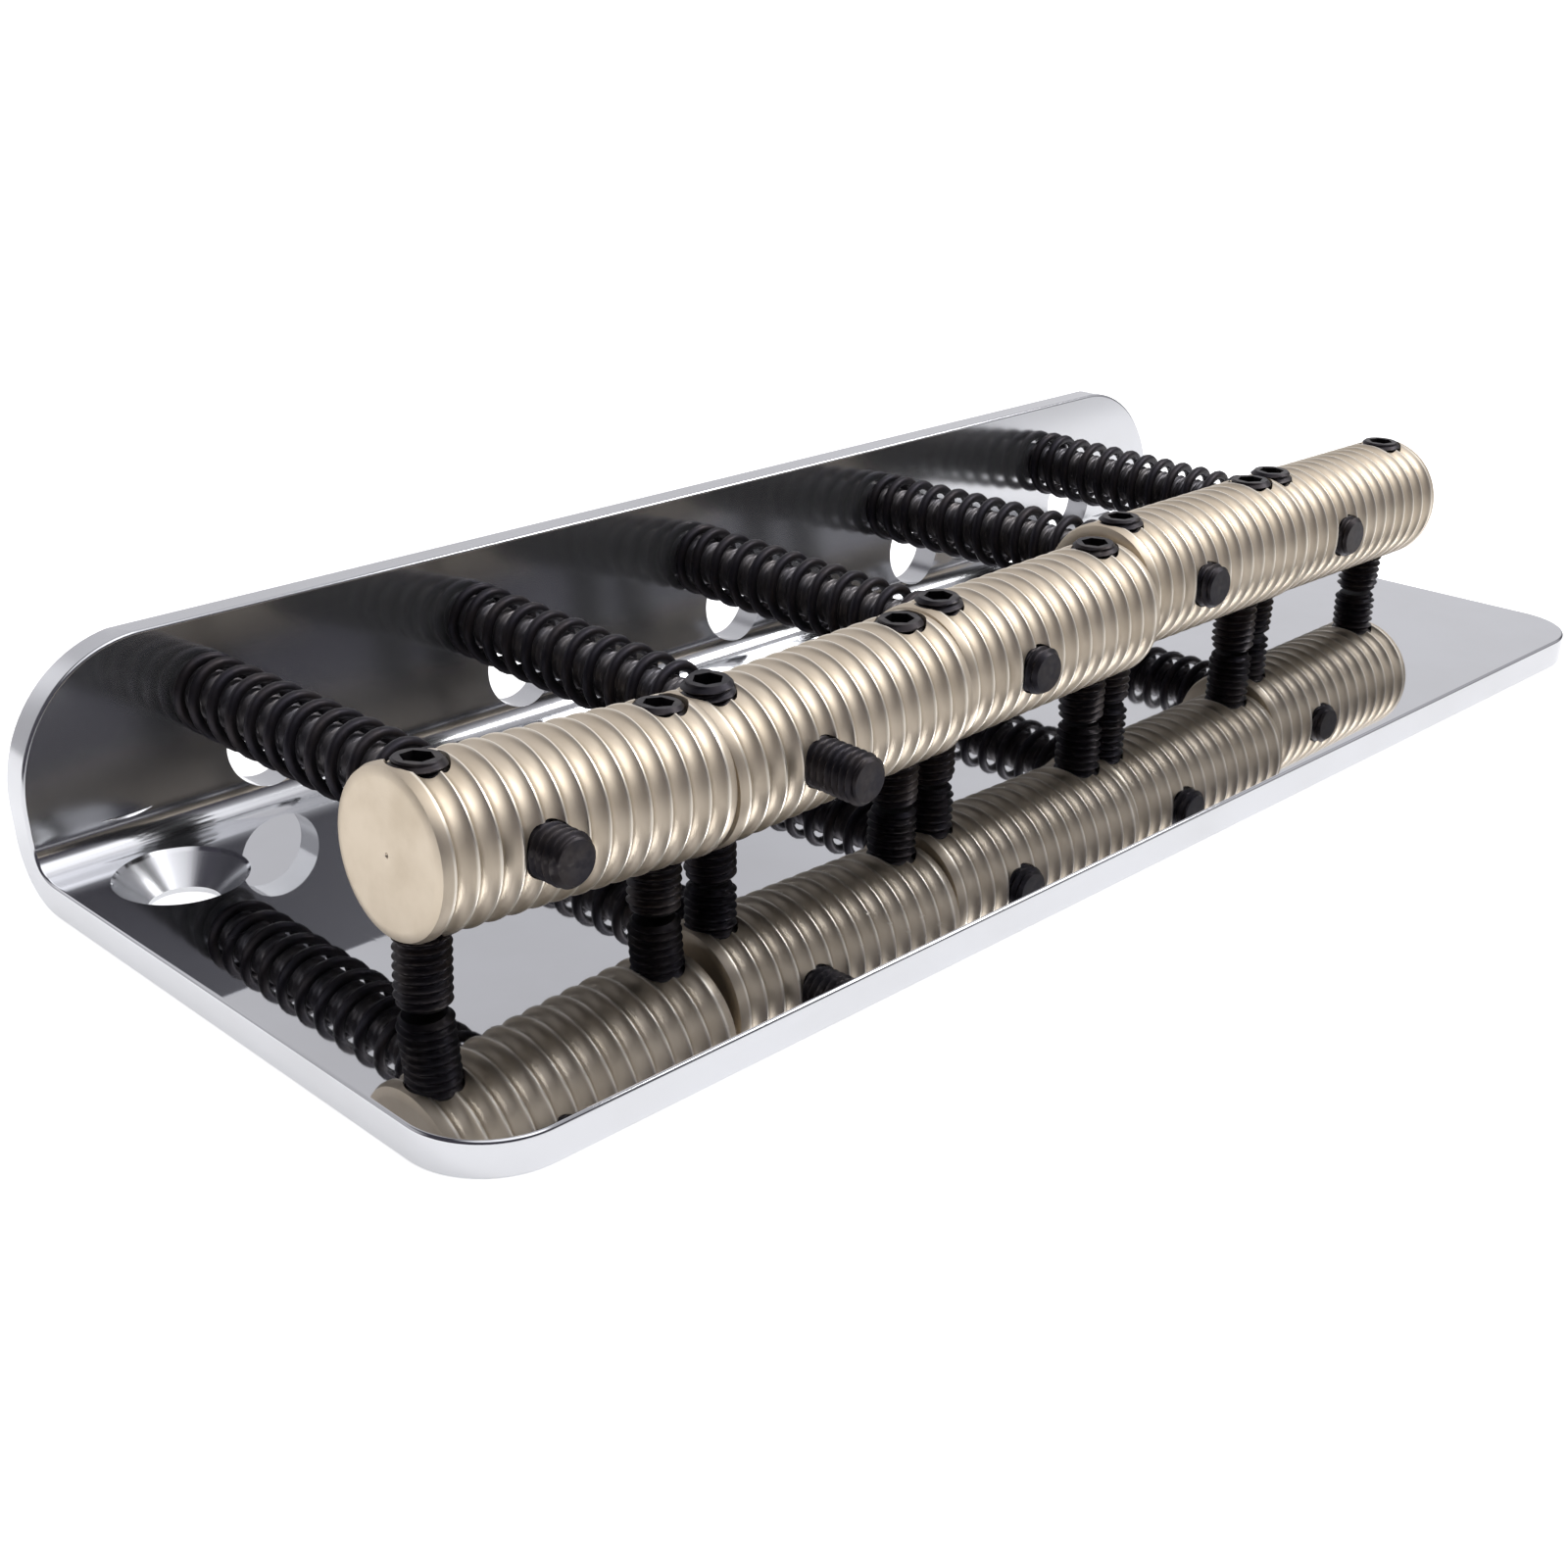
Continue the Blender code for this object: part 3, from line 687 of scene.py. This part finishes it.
def shade_bore(points, facing, normals, start, along, radius):
    """Give the corners on a round or conical bore a normal that points to its axis, or slants to it.

    The lift is the share of the normal that lies along the axis. The rest of the normal points from
    the corner to the axis.
    """
    out = points - start
    out -= (out @ along)[:, None] * np.array(along)
    distance = np.linalg.norm(out, axis=1) + 1e-12
    lift = facing @ along
    steady = (np.abs(lift) < ROUND_LIFT) | (np.abs(np.abs(lift) - CONE_LIFT) < CONE_SPREAD)
    exact = lift[:, None] * np.array(along) - np.sqrt(1 - lift**2)[:, None] * out / distance[:, None]
    near = steady & (distance < BORE_REACH * radius)
    same = near & (np.sum(facing * exact, axis=1) > SAME_AS_BORE)
    normals[same] = exact[same]


def make_sheet():
    """Make the sheet: carry the section across, round the corners and edges, then punch the holes."""
    sheet = prism("sheet", sheet_section(), plate_left, plate_right, "YZ")
    waste = []
    behind_wall = plate_back + SHEET
    for side, edge in ((-1, plate_left), (1, plate_right)):
        front = corner_waste(edge, plate_front, FRONT_CORNER, side, -1)
        waste.append(prism("waste", front, -SHEET, 3 * SHEET, "XY"))
        top = corner_waste(edge, plate_top, WALL_CORNER, side, 1)
        waste.append(prism("waste", top, 0.0, behind_wall, "XZ"))
    cut_away(sheet, waste)
    round_edges(sheet, "Rolled edges", EDGE_RADIUS, segments=4, over_deg=40)
    punches, bores = [], []
    ahead = wall_at(SHEET, SHEET) - 2 * SHEET
    for x, _, screw_z in (place["hole"] for place in frames.values()):
        string_hole = (x + STRING_HOLE_FROM_SCREW, STRING_HOLE_Z, STRING_HOLE)
        for hole_x, z, radius in (string_hole, (x, screw_z, SCREW_HOLE)):
            punches.append(punch("punch", radius, (hole_x, ahead, z), (hole_x, behind_wall, z)))
            bores.append(((hole_x, 0.0, z), (0.0, 1.0, 0.0), radius))
    spring_x = [place["hole"][0] for place in frames.values()]
    between = [(a + b) / 2 for a, b in zip(spring_x, spring_x[1:])]
    hole_y = wall_at(SHEET, SHEET) - MOUNTING_TO_WALL
    for x in [*between, plate_left + MOUNTING_TO_SIDE, plate_right - MOUNTING_TO_SIDE]:
        punches.append(countersunk_punch("punch", x, hole_y))
        bores.append(((x, hole_y, 0.0), (0.0, 0.0, 1.0), COUNTERSINK))
    cut_away(sheet, punches)
    round_edges(sheet, "Soft rims", RIM_RADIUS, segments=2, over_deg=50)
    sheet.modifiers.new("Flat faces first", "WEIGHTED_NORMAL").keep_sharp = True
    settle(sheet, keep_normals=True)
    points, facing, normals = corner_arrays(sheet.data)
    shade_broad_faces(points, facing, normals)
    for bore in bores:
        shade_bore(points, facing, normals, *bore)
    sheet.data.normals_split_custom_set(normals)
    sheet.data.materials.clear()
    sheet.data.materials.append(CHROME)
    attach(sheet, "base_plate")
    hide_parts("base_plate")
    return sheet


sheet = make_sheet()
print("sheet faces", len(sheet.data.polygons))

# %% [markdown]
# ## The grooved barrels
#
# A barrel is turned: its radius depends only on the distance along it. Thirteen shallow
# scallops lie side by side, so between two of them stays a thin crest where the string
# finds its seat. Each end has a plain shoulder, a small chamfer and a centre mark. A
# bump could fake the grooves, but here they shape the outline and the mirror image. The
# barrel is then drilled across for its screw and down for its two height screws.

# %% Barrel profile
BARREL_RADIUS = 4.35 * MM
BARREL_LENGTH = 18.4 * MM
BARREL_CHAMFER = 0.46 * MM
GROOVES = 13
GROOVE_DEPTH = 0.23 * MM
GROOVE_POWER = 2.6
CREST_WIDTH = 0.09 * MM
GROOVE_STEPS = 18
BARREL_SIDES = 144
MARK_RADIUS = 0.14 * MM
SCREW_RADIUS = 1.45 * MM
HEIGHT_SCREW_RADIUS = 1.48 * MM
HEIGHT_SCREW_SPACING = 14.74 * MM
THREAD_AIR = 0.04 * MM


def barrel_profile():
    """Return distances along the barrel and radii there.

    A groove is a scallop: the radius falls by the groove depth times one less a power of the
    share of the way from its middle to its edge. A power above 2 makes the floor flat and the
    flanks steep.
    """
    half = BARREL_LENGTH / 2
    across = (1 - np.cos(np.linspace(0, math.pi, GROOVE_STEPS + 1))) / 2
    open_width = GROOVE_PITCH - CREST_WIDTH
    first = -GROOVES * GROOVE_PITCH / 2 + CREST_WIDTH / 2
    along = (first + np.arange(GROOVES)[:, None] * GROOVE_PITCH + across * open_width).ravel()
    fall = np.tile(GROOVE_DEPTH * (1 - np.abs(2 * across - 1) ** GROOVE_POWER), GROOVES)
    angle = np.linspace(0, math.pi / 2, 3)
    end_along = -half + BARREL_CHAMFER * (1 - np.cos(angle))
    end_radius = BARREL_RADIUS - BARREL_CHAMFER * (1 - np.sin(angle))
    face_along = np.array((-half + MARK_RADIUS, -half, -half, -half))
    face_edge = BARREL_RADIUS - 1.5 * BARREL_CHAMFER
    face_radius = np.array((0.02 * MM, MARK_RADIUS, 1.5 * MARK_RADIUS, face_edge))
    along_end = np.concatenate((face_along, end_along))
    radius_end = np.concatenate((face_radius, end_radius))
    distance = np.concatenate((along_end, along, -along_end[::-1]))
    return distance, np.concatenate((radius_end, BARREL_RADIUS - fall, radius_end[::-1]))


def barrel_uv(obj, place):
    """Write the way along the barrel and round it, in millimetres, as a UV map.

    The way along goes on over the rim and in to the middle of each end face.
    """
    mesh = obj.data
    local = (read(mesh.vertices, "co", 3) - place["middle"]) / MM
    along = local @ place["across"]
    radius = np.linalg.norm(local - along[:, None] * place["across"], axis=1)
    on_face = np.abs(along) > (BARREL_LENGTH / 2 - BARREL_CHAMFER) / MM
    along += on_face * np.sign(along) * (BARREL_RADIUS / MM - radius)
    turn = np.arctan2(local @ place["up"], local @ place["back"]) * BARREL_RADIUS / MM
    corners = read(mesh.loops, "vertex_index", kind=np.int64)
    layer = mesh.uv_layers.get("Along") or mesh.uv_layers.new(name="Along")
    layer.uv.foreach_set("vector", np.stack((along[corners], turn[corners]), axis=1).ravel())


def make_barrel(number, place):
    """Make one barrel, drill it, and give it its nickel."""
    distance, radius = barrel_profile()
    rings = revolve(radius, distance, BARREL_SIDES)
    placed = place_rings(rings, place["middle"], place["back"], place["up"], place["across"])
    barrel = tube_object(f"barrel_{number}", placed)
    drills = []
    for aside, way, screw_radius in ((-SCREW_OFFSET, place["back"], SCREW_RADIUS),
                                     (-HEIGHT_SCREW_SPACING / 2, place["up"], HEIGHT_SCREW_RADIUS),
                                     (HEIGHT_SCREW_SPACING / 2, place["up"], HEIGHT_SCREW_RADIUS)):
        seat, through = place["middle"] + aside * place["across"], (BARREL_RADIUS + MM) * way
        drills.append(punch("drill", screw_radius + THREAD_AIR, seat - through, seat + through))
    cut_away(barrel, drills)
    barrel_uv(barrel, place)
    barrel.data.materials.clear()
    barrel.data.materials.append(NICKEL)
    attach(barrel, f"saddle_{number}")
    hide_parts(f"saddle_{number}")
    return barrel


for number, place in frames.items():
    barrel = make_barrel(number, place)
    print(barrel.name, "faces", len(barrel.data.polygons))

# %% [markdown]
# ## Threads
#
# A metric thread of 0.5 mm pitch runs the length of every screw. Its surface is a screw
# surface: the radius depends on the height less the pitch times the turn, so the crest
# climbs one pitch in each turn. A stack of rings or a bump would look much the same from
# afar, but neither climbs, and the ends of the screws are seen from close by.

# %% Thread surface
THREAD_PITCH = 0.5 * MM
THREAD_DEPTH = 0.27 * MM
ROOT_POWER = 0.75
THREAD_STEPS = 10
THREAD_SIDES = 48


def thread_rings(radius, low, high, chamfer):
    """Return rings of a threaded rod from low to high.

    The radius falls from the crest by the thread depth times a rounded saw of the phase,
    and is kept inside a chamfer at both ends.
    """
    rows = int((high - low) / THREAD_PITCH * THREAD_STEPS) + 1
    height = np.linspace(low, high, rows)[:, None]
    angle = np.linspace(0, 2 * math.pi, THREAD_SIDES, endpoint=False)
    phase = (height / THREAD_PITCH - angle / (2 * math.pi)) % 1.0
    fall = (0.5 + 0.5 * np.cos(2 * math.pi * phase)) ** ROOT_POWER
    inside = radius - chamfer + np.minimum(height - low, high - height)
    return revolve(np.minimum(radius - THREAD_DEPTH * fall, inside), height, THREAD_SIDES)


print("points in 10 mm of thread", thread_rings(SCREW_RADIUS, 0.0, 10 * MM, 0.0)[..., 0].size)

# %% [markdown]
# ## Height screws
#
# These are headless screws with a hex socket on top. Each one stands with its tip just
# over the sheet, and its top shows in the barrel's hole. A dark disc could stand for the
# socket, but light falls into a real one, so it is cut with a six-sided tool.

# %% Height screws
HEIGHT_SCREW_CHAMFER = 0.33 * MM
SOCKET_FLATS = 1.5 * MM
SOCKET_DEPTH = 1.8 * MM
TIP_GAP = 0.12 * MM
SOCKET_TURNS = (8.0, 41.0, 22.0, 53.0, 15.0)
SCREWS_PROUD = {
    "high_string_side": (0.1, 0.5, 0.3, 0.25, 0.3),
    "low_string_side": (-0.1, 0.0, 0.2, 0.05, 0.1),
}
SOCKET_TURN_BETWEEN_SIDES = 30


def make_height_screw(number, side, place):
    """Make one height screw between the sheet and the top of its solid."""
    name = f"height_screw_{number}_{side}"
    sign = -1 if side == "high_string_side" else 1
    axis = place["middle"] + sign * HEIGHT_SCREW_SPACING / 2 * place["across"]
    up = place["up"]
    lean = math.sqrt(1 - up[2] ** 2)
    tip = (SHEET + TIP_GAP + HEIGHT_SCREW_RADIUS * lean - axis[2]) / up[2]
    top = BARREL_RADIUS + SCREWS_PROUD[side][number - 1] * MM
    rings = thread_rings(HEIGHT_SCREW_RADIUS, tip, top, HEIGHT_SCREW_CHAMFER)
    placed = place_rings(rings, axis, place["across"], place["back"], up)
    screw = tube_object(f"grub_{number}_{side}", placed)
    turn = math.radians(SOCKET_TURNS[number - 1] + SOCKET_TURN_BETWEEN_SIDES * (sign > 0))
    first = math.cos(turn) * place["across"] + math.sin(turn) * place["back"]
    second = np.cross(up, first)
    socket = revolve([SOCKET_FLATS / math.sqrt(3)] * 2, [top - SOCKET_DEPTH, top + MM], 6)
    cut_away(screw, [tube_object("socket", place_rings(socket, axis, first, second, up))])
    screw.data.materials.clear()
    screw.data.materials.append(BLACK_GRUB)
    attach(screw, name)
    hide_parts(name)
    return screw


for number, place in frames.items():
    for side in ("high_string_side", "low_string_side"):
        screw = make_height_screw(number, side, place)
    print(screw.name, "faces", len(screw.data.polygons))

# %% [markdown]
# ## Intonation screws
#
# Each one runs from its head behind the wall, through the spring and the barrel, and
# ends flat in front of it. The head is a low dome with a cross recess. Thread and head
# could be two meshes, but as one set of rings they need no seam. The end ahead of the
# barrel is blacker; the rest has a paler colour as a painted highlight.

# %% Intonation screws
HEAD_RADIUS = 2.75 * MM
HEAD_HEIGHT = 1.9 * MM
HEAD_GAP = 0.3 * MM
HEAD_RISE = 0.3 * MM
RECESS_LENGTH = 3.0 * MM
RECESS_WIDTH = 0.6 * MM
RECESS_DEPTH = 1.1 * MM
RECESS_TAPER = 0.5
RECESS_ABOVE = 0.2 * MM
SCREW_CHAMFER = 0.33 * MM
HEAD_POWER = 0.6
HEAD_TIP = 0.05 * MM
HEAD_TURNS = (12.0, 64.0, 31.0, 78.0, 47.0)
HEAD_STEPS = 12


def recess_outline():
    """Return a cross of four like arms: one arm's corners, turned by quarter turns."""
    far, near = RECESS_LENGTH / 2, RECESS_WIDTH / 2
    arm = np.array(((far, -near), (far, near), (near, near)))
    quarter = np.array(((0, -1), (1, 0)))
    return np.concatenate([arm @ np.linalg.matrix_power(quarter, turns).T for turns in range(4)])


def make_intonation_screw(number, place):
    """Make one intonation screw: thread, then a head whose radius is a power of the cosine."""
    name = f"intonation_screw_{number}"
    back = place["back"]
    front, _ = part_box(name)
    tip = (front[1] - place["hole"][1]) / back[1]
    underside = HEAD_GAP + HEAD_RISE
    top = underside + HEAD_HEIGHT
    thread = thread_rings(SCREW_RADIUS, tip, HEAD_GAP, SCREW_CHAMFER)
    thread = thread[:-int(SCREW_CHAMFER / THREAD_PITCH * THREAD_STEPS) - 1]
    angle = np.linspace(0, math.pi / 2, HEAD_STEPS)[:-1]
    head_radii = np.concatenate(([SCREW_RADIUS], HEAD_RADIUS * np.cos(angle) ** HEAD_POWER, [HEAD_TIP]))
    head_heights = np.concatenate(([HEAD_GAP], underside + HEAD_HEIGHT * np.sin(angle), [top]))
    rings = np.concatenate((thread, revolve(head_radii, head_heights, THREAD_SIDES)))
    up, across = np.cross(place["across"], back), place["across"]
    turn = math.radians(HEAD_TURNS[number - 1])
    first = math.cos(turn) * across - math.sin(turn) * up
    second = np.cross(back, first)
    placed = place_rings(rings, place["hole"], first, second, back)
    screw = tube_object(f"long_screw_{number}", placed)
    outline = recess_outline()
    cross = np.zeros((2, len(outline), 3))
    cross[0, :, :2], cross[1, :, :2] = outline * RECESS_TAPER, outline
    cross[0, :, 2], cross[1, :, 2] = top - RECESS_DEPTH, top + RECESS_ABOVE
    cut_away(screw, [tube_object("recess", place_rings(cross, place["hole"], first, second, back))])
    screw.data.materials.clear()
    screw.data.materials.append(BLACK_SCREW_PAINTED_HIGHLIGHT)
    screw.data.materials.append(BLACK_GRUB)
    # Behind the barrel's middle the screw has the paler, painted-highlight finish; ahead of it the
    # darker one.
    ahead = (read(screw.data.polygons, "center", 3) - place["middle"]) @ back < 0
    screw.data.polygons.foreach_set("material_index", ahead.astype(np.int32))
    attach(screw, name)
    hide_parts(name)
    return screw


for number, place in frames.items():
    screw = make_intonation_screw(number, place)
print(screw.name, "faces", len(screw.data.polygons))

# %% [markdown]
# ## Springs
#
# A compression spring is one wire wound as a helix. Its end turns lie against the turn
# beside them, which gives it a flat seat, so the climb per turn starts at one wire
# diameter, opens smoothly to the free pitch, and closes again. A curve with a round
# bevel could make it, but an array gives the faces in the right order at once. A ring of
# points square to the centre line is carried along it. The spring is wound to fit
# between the wall and the barrel in the rest pose.

# %% Springs
WIRE = 0.66 * MM
COIL_RADIUS = 2.09 * MM
TURNS = 12.25
CLOSED_TURNS = 1.0
STEPS_PER_TURN = 28
WIRE_SIDES = 12
SEAT_AIR = 0.05 * MM
CLOSED_CLIMB = 1.02


def spring_climb(length):
    """Return the turn angle and the distance along the spring at each step.

    The climb per turn is one wire diameter in the closed turns and rises over half a
    turn to the pitch that makes the whole length come out.
    """
    turn = np.linspace(0, TURNS, int(TURNS * STEPS_PER_TURN) + 1)
    inside = np.minimum(turn, TURNS - turn)
    opened = np.clip((inside - (CLOSED_TURNS - 0.5)) / 0.5, 0, 1)
    opened = opened * opened * (3 - 2 * opened)
    middle = (opened[1:] + opened[:-1]) / 2
    step = np.diff(turn)
    closed_climb = WIRE * CLOSED_CLIMB
    pitch_more = (length - closed_climb * TURNS) / np.sum(middle * step)
    along = np.concatenate(([0.0], np.cumsum((closed_climb + pitch_more * middle) * step)))
    return turn * 2 * math.pi, along


def make_spring(number, place):
    """Make one spring between the wall and the barrel."""
    hole, back, across = place["hole"], place["back"], place["across"]
    up = np.cross(across, back)
    seat_at_wall = -(SHEET + WIRE / 2 + SEAT_AIR + COIL_RADIUS * abs(back[2] - math.sin(WALL_LEAN)))
    seat_at_barrel = -(place["reach"] - BARREL_RADIUS - WIRE / 2 - SEAT_AIR)
    angle, along = spring_climb(seat_at_wall - seat_at_barrel)
    rise = np.gradient(along, angle)
    radial = np.cos(angle)[:, None] * across + np.sin(angle)[:, None] * up
    swept = -np.sin(angle)[:, None] * across + np.cos(angle)[:, None] * up
    centre = hole + radial * COIL_RADIUS + (seat_at_wall - along)[:, None] * back
    tangent = swept * COIL_RADIUS - rise[:, None] * back
    tangent /= np.linalg.norm(tangent, axis=1)[:, None]
    other = np.cross(tangent, radial)
    ring = np.linspace(0, 2 * math.pi, WIRE_SIDES, endpoint=False)
    rings = centre[:, None] + WIRE / 2 * (
        np.cos(ring)[None, :, None] * radial[:, None] + np.sin(ring)[None, :, None] * other[:, None]
    )
    spring = tube_object(f"coil_{number}", rings[:, ::-1])
    spring.data.materials.append(BLACK_SPRING)
    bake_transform(spring)
    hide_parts(f"spring_{number}")
    return spring


for number, place in frames.items():
    spring = make_spring(number, place)
print(spring.name, "faces", len(spring.data.polygons))

# %% [markdown]
# ## Camera
#
# The camera stands low in front of the bridge, to the side of the highest string. It
# could be set by eye, but then no line would meet the photograph's. So its place and
# lens come from solving that perspective with the bridge's own sizes, in millimetres.

# %% Camera
NEAREST = 5 * MM
CAMERA_PLACE = np.array((-90.50, -78.71, 48.70)) * MM
CAMERA_AZIMUTH = math.radians(-43.006)
CAMERA_ELEVATION = math.radians(26.796)
CAMERA_ROLL = math.radians(-0.421)
FOCAL_PIXELS = 2014.3
IMAGE_CENTRE = (733.1, 936.4)
IMAGE_SIZE = 1600
SENSOR_MM = 36.0


def make_camera():
    """Add the camera: it tips up from looking down, turns to its azimuth, and rolls about its view."""
    camera = bpy.data.objects.new("camera", bpy.data.cameras.new("camera"))
    bpy.context.scene.collection.objects.link(camera)
    azimuth = Matrix.Rotation(CAMERA_AZIMUTH, 4, "Z")
    tip = Matrix.Rotation(math.pi / 2 - CAMERA_ELEVATION, 4, "X")
    roll = Matrix.Rotation(CAMERA_ROLL, 4, "Z")
    camera.matrix_world = Matrix.Translation(Vector(CAMERA_PLACE)) @ azimuth @ tip @ roll
    camera.data.sensor_width = SENSOR_MM
    camera.data.lens = FOCAL_PIXELS / IMAGE_SIZE * SENSOR_MM
    camera.data.shift_x = (IMAGE_SIZE / 2 - IMAGE_CENTRE[0]) / IMAGE_SIZE
    camera.data.shift_y = (IMAGE_CENTRE[1] - IMAGE_SIZE / 2) / IMAGE_SIZE
    camera.data.clip_start = NEAREST
    bpy.context.scene.camera = camera
    return camera


camera = make_camera()
print("lens", round(camera.data.lens, 2), "mm")

# %% [markdown]
# ## Studio
#
# Polished metal shows the room, so the room is part of the finish. Behind and above the
# bridge the studio is pale, and on the camera's side it is dark. Real panels could stand
# round the bridge, but soft glows in the world can be placed one by one until each face
# shows what it should. The background is white where the camera sees it.

# %% World
DARK_ROOM = (0.070, 0.066, 0.083)
COOL_WHITE = (1.0, 1.0, 1.02)
# Each glow: where it lies, its outer and inner angles in degrees, and its strength
GLOWS = (
    ((0.45, 0.85, 0.25), 54, 36, 0.66),
    ((-0.55, 0.78, 0.30), 36, 16, 0.55),
    ((0.90, 0.36, 0.30), 26, 8, 0.12),
    ((0.50, -0.16, 0.85), 47, 14, 0.46),
    ((0.02, -0.20, 0.97), 32, 17, 1.2),
    ((0.82, -0.42, 0.36), 28, 12, 0.35),
    ((0.25, -0.50, 0.83), 14, 7, 1.2),
)


def share_towards(tree, vector, towards):
    """Return the dot product of a vector and a fixed direction."""
    node = add_node(tree, "ShaderNodeVectorMath", vector, towards, operation="DOT_PRODUCT")
    return node.outputs["Value"]


def glow_towards(tree, direction, towards, outer_deg, inner_deg, strength):
    """Return light that grows from 0 at the outer angle to its strength at the inner one."""
    share = share_towards(tree, direction, Vector(towards).normalized())
    low, high = (math.cos(math.radians(angle)) for angle in (outer_deg, inner_deg))
    return ramp(tree, share, low, high, 0.0, strength)


def make_world():
    """Make the world: white for the camera, and a pale and dark studio for reflections and light."""
    world = bpy.data.worlds.new("studio")
    bpy.context.scene.world = world
    world.use_nodes = True
    tree = world.node_tree
    tree.nodes.clear()
    direction = tree.nodes.new("ShaderNodeTexCoord").outputs["Generated"]
    light = glow_towards(tree, direction, *GLOWS[0])
    for glow in GLOWS[1:]:
        light = math_node(tree, "ADD", light, glow_towards(tree, direction, *glow))
    tinted = (light, COOL_WHITE, DARK_ROOM)
    shade = add_node(tree, "ShaderNodeVectorMath", *tinted, operation="MULTIPLY_ADD").outputs[0]
    room_light = add_node(tree, "ShaderNodeBackground", shade).outputs[0]
    white = add_node(tree, "ShaderNodeBackground", (1, 1, 1, 1)).outputs[0]
    by_camera = add_node(tree, "ShaderNodeLightPath").outputs["Is Camera Ray"]
    choose = add_node(tree, "ShaderNodeMixShader", by_camera, room_light, white).outputs[0]
    add_node(tree, "ShaderNodeOutputWorld", choose)


make_world()
print("glows", len(GLOWS), "dark room", DARK_ROOM)

# %% [markdown]
# ### The floor
#
# The floor is white paper. A plain white plane would do for the camera, but the metal
# would mirror it evenly, and the photograph's metal doesn't. So it glows in two ways:
# for the camera white, and a little less near the bridge, where the soft shadow lies;
# and for the metal dark ahead of the bridge.

# %% Floor
FLOOR_Z = -0.02 * MM
FLOOR_HALF = 1.5
PAPER = (0.9, 0.9, 0.9, 1)
SHADOW_FADES = (0.07, 0.13)
SHADOW_GLOW = (0.72, 1.0)
FRONT_RIGHT = (0.68, -0.73, 0.0)
FLOOR_IN_METAL = (0.72, 0.62)
FLOOR_IN_METAL_OVER = (-0.06, 0.06)
FLOOR_AHEAD = 0.10
AHEAD_FROM = (9 * MM, 3 * MM)


def floor_glow(tree, place):
    """Return the floor's own light: what the camera sees plus what the metal sees."""
    path = tree.nodes.new("ShaderNodeLightPath").outputs
    distance = add_node(tree, "ShaderNodeVectorMath", place, operation="LENGTH").outputs["Value"]
    fading = ramp(tree, distance, *SHADOW_FADES, *SHADOW_GLOW)
    direct = math_node(tree, "ADD", path["Is Camera Ray"], path["Is Transmission Ray"], clamp=True)
    across = share_towards(tree, place, FRONT_RIGHT)
    mirrored = ramp(tree, across, *FLOOR_IN_METAL_OVER, *FLOOR_IN_METAL)
    dark, pale = (plate_front - before for before in AHEAD_FROM)
    ahead = ramp(tree, split(tree, place)["Y"], dark, pale, FLOOR_AHEAD, 1.0)
    mirrored = math_node(tree, "MULTIPLY", mirrored, ahead)
    mirrored = math_node(tree, "MULTIPLY", mirrored, path["Is Glossy Ray"])
    return math_node(tree, "MULTIPLY_ADD", direct, fading, mirrored)


def make_floor():
    """Make the white floor, which keeps the bridge's soft shadow."""
    corners = np.array(((-1, -1, 0), (1, -1, 0), (1, 1, 0), (-1, 1, 0))) * FLOOR_HALF + (0, 0, FLOOR_Z)
    floor = mesh_object("floor", corners, [[0, 1, 2, 3]])
    material, tree, shader, place = new_material("white_floor")
    feed(tree, shader, PAPER, 0.0, 1.0)
    shader.inputs["Specular IOR Level"].default_value = 0.0
    glow = add_node(tree, "ShaderNodeEmission", None, floor_glow(tree, place)).outputs[0]
    both = add_node(tree, "ShaderNodeAddShader", shader.outputs[0], glow).outputs[0]
    feed(tree, tree.nodes["Material Output"], both)
    floor.data.materials.append(material)
    return floor


floor = make_floor()
print("floor", floor.dimensions.x, "by", floor.dimensions.y, "m")

# %% [markdown]
# ### The lamp
#
# One softbox hangs high on the right. It gives the barrels their shine and the bridge
# its shadow. A point lamp would do too, but its shadow would be hard.

# %% Lamp
SOFTBOX_PLACE = (0.42, -0.20, 0.46)
SOFTBOX_AIM = (0, 0, 5 * MM)
SOFTBOX_SIZE = (0.22, 0.18)
SOFTBOX_WATTS = 1.35


def make_softbox():
    """Hang a square softbox that faces the bridge."""
    light = bpy.data.lights.new("softbox right", "AREA")
    light.shape = "RECTANGLE"
    light.size, light.size_y = SOFTBOX_SIZE
    light.energy = SOFTBOX_WATTS
    lamp = bpy.data.objects.new(light.name, light)
    bpy.context.scene.collection.objects.link(lamp)
    lamp.location = SOFTBOX_PLACE
    lamp.rotation_euler = (Vector(SOFTBOX_AIM) - lamp.location).to_track_quat("-Z", "Y").to_euler()
    return lamp


lamp = make_softbox()
print(lamp.name, lamp.data.energy, "W")

# %% [markdown]
# ## Finish
#
# The dressed bridge is meant to stay inside the solids. This last cell sets the Standard
# view transform.

# %% Finish
bpy.context.scene.view_settings.view_transform = "Standard"
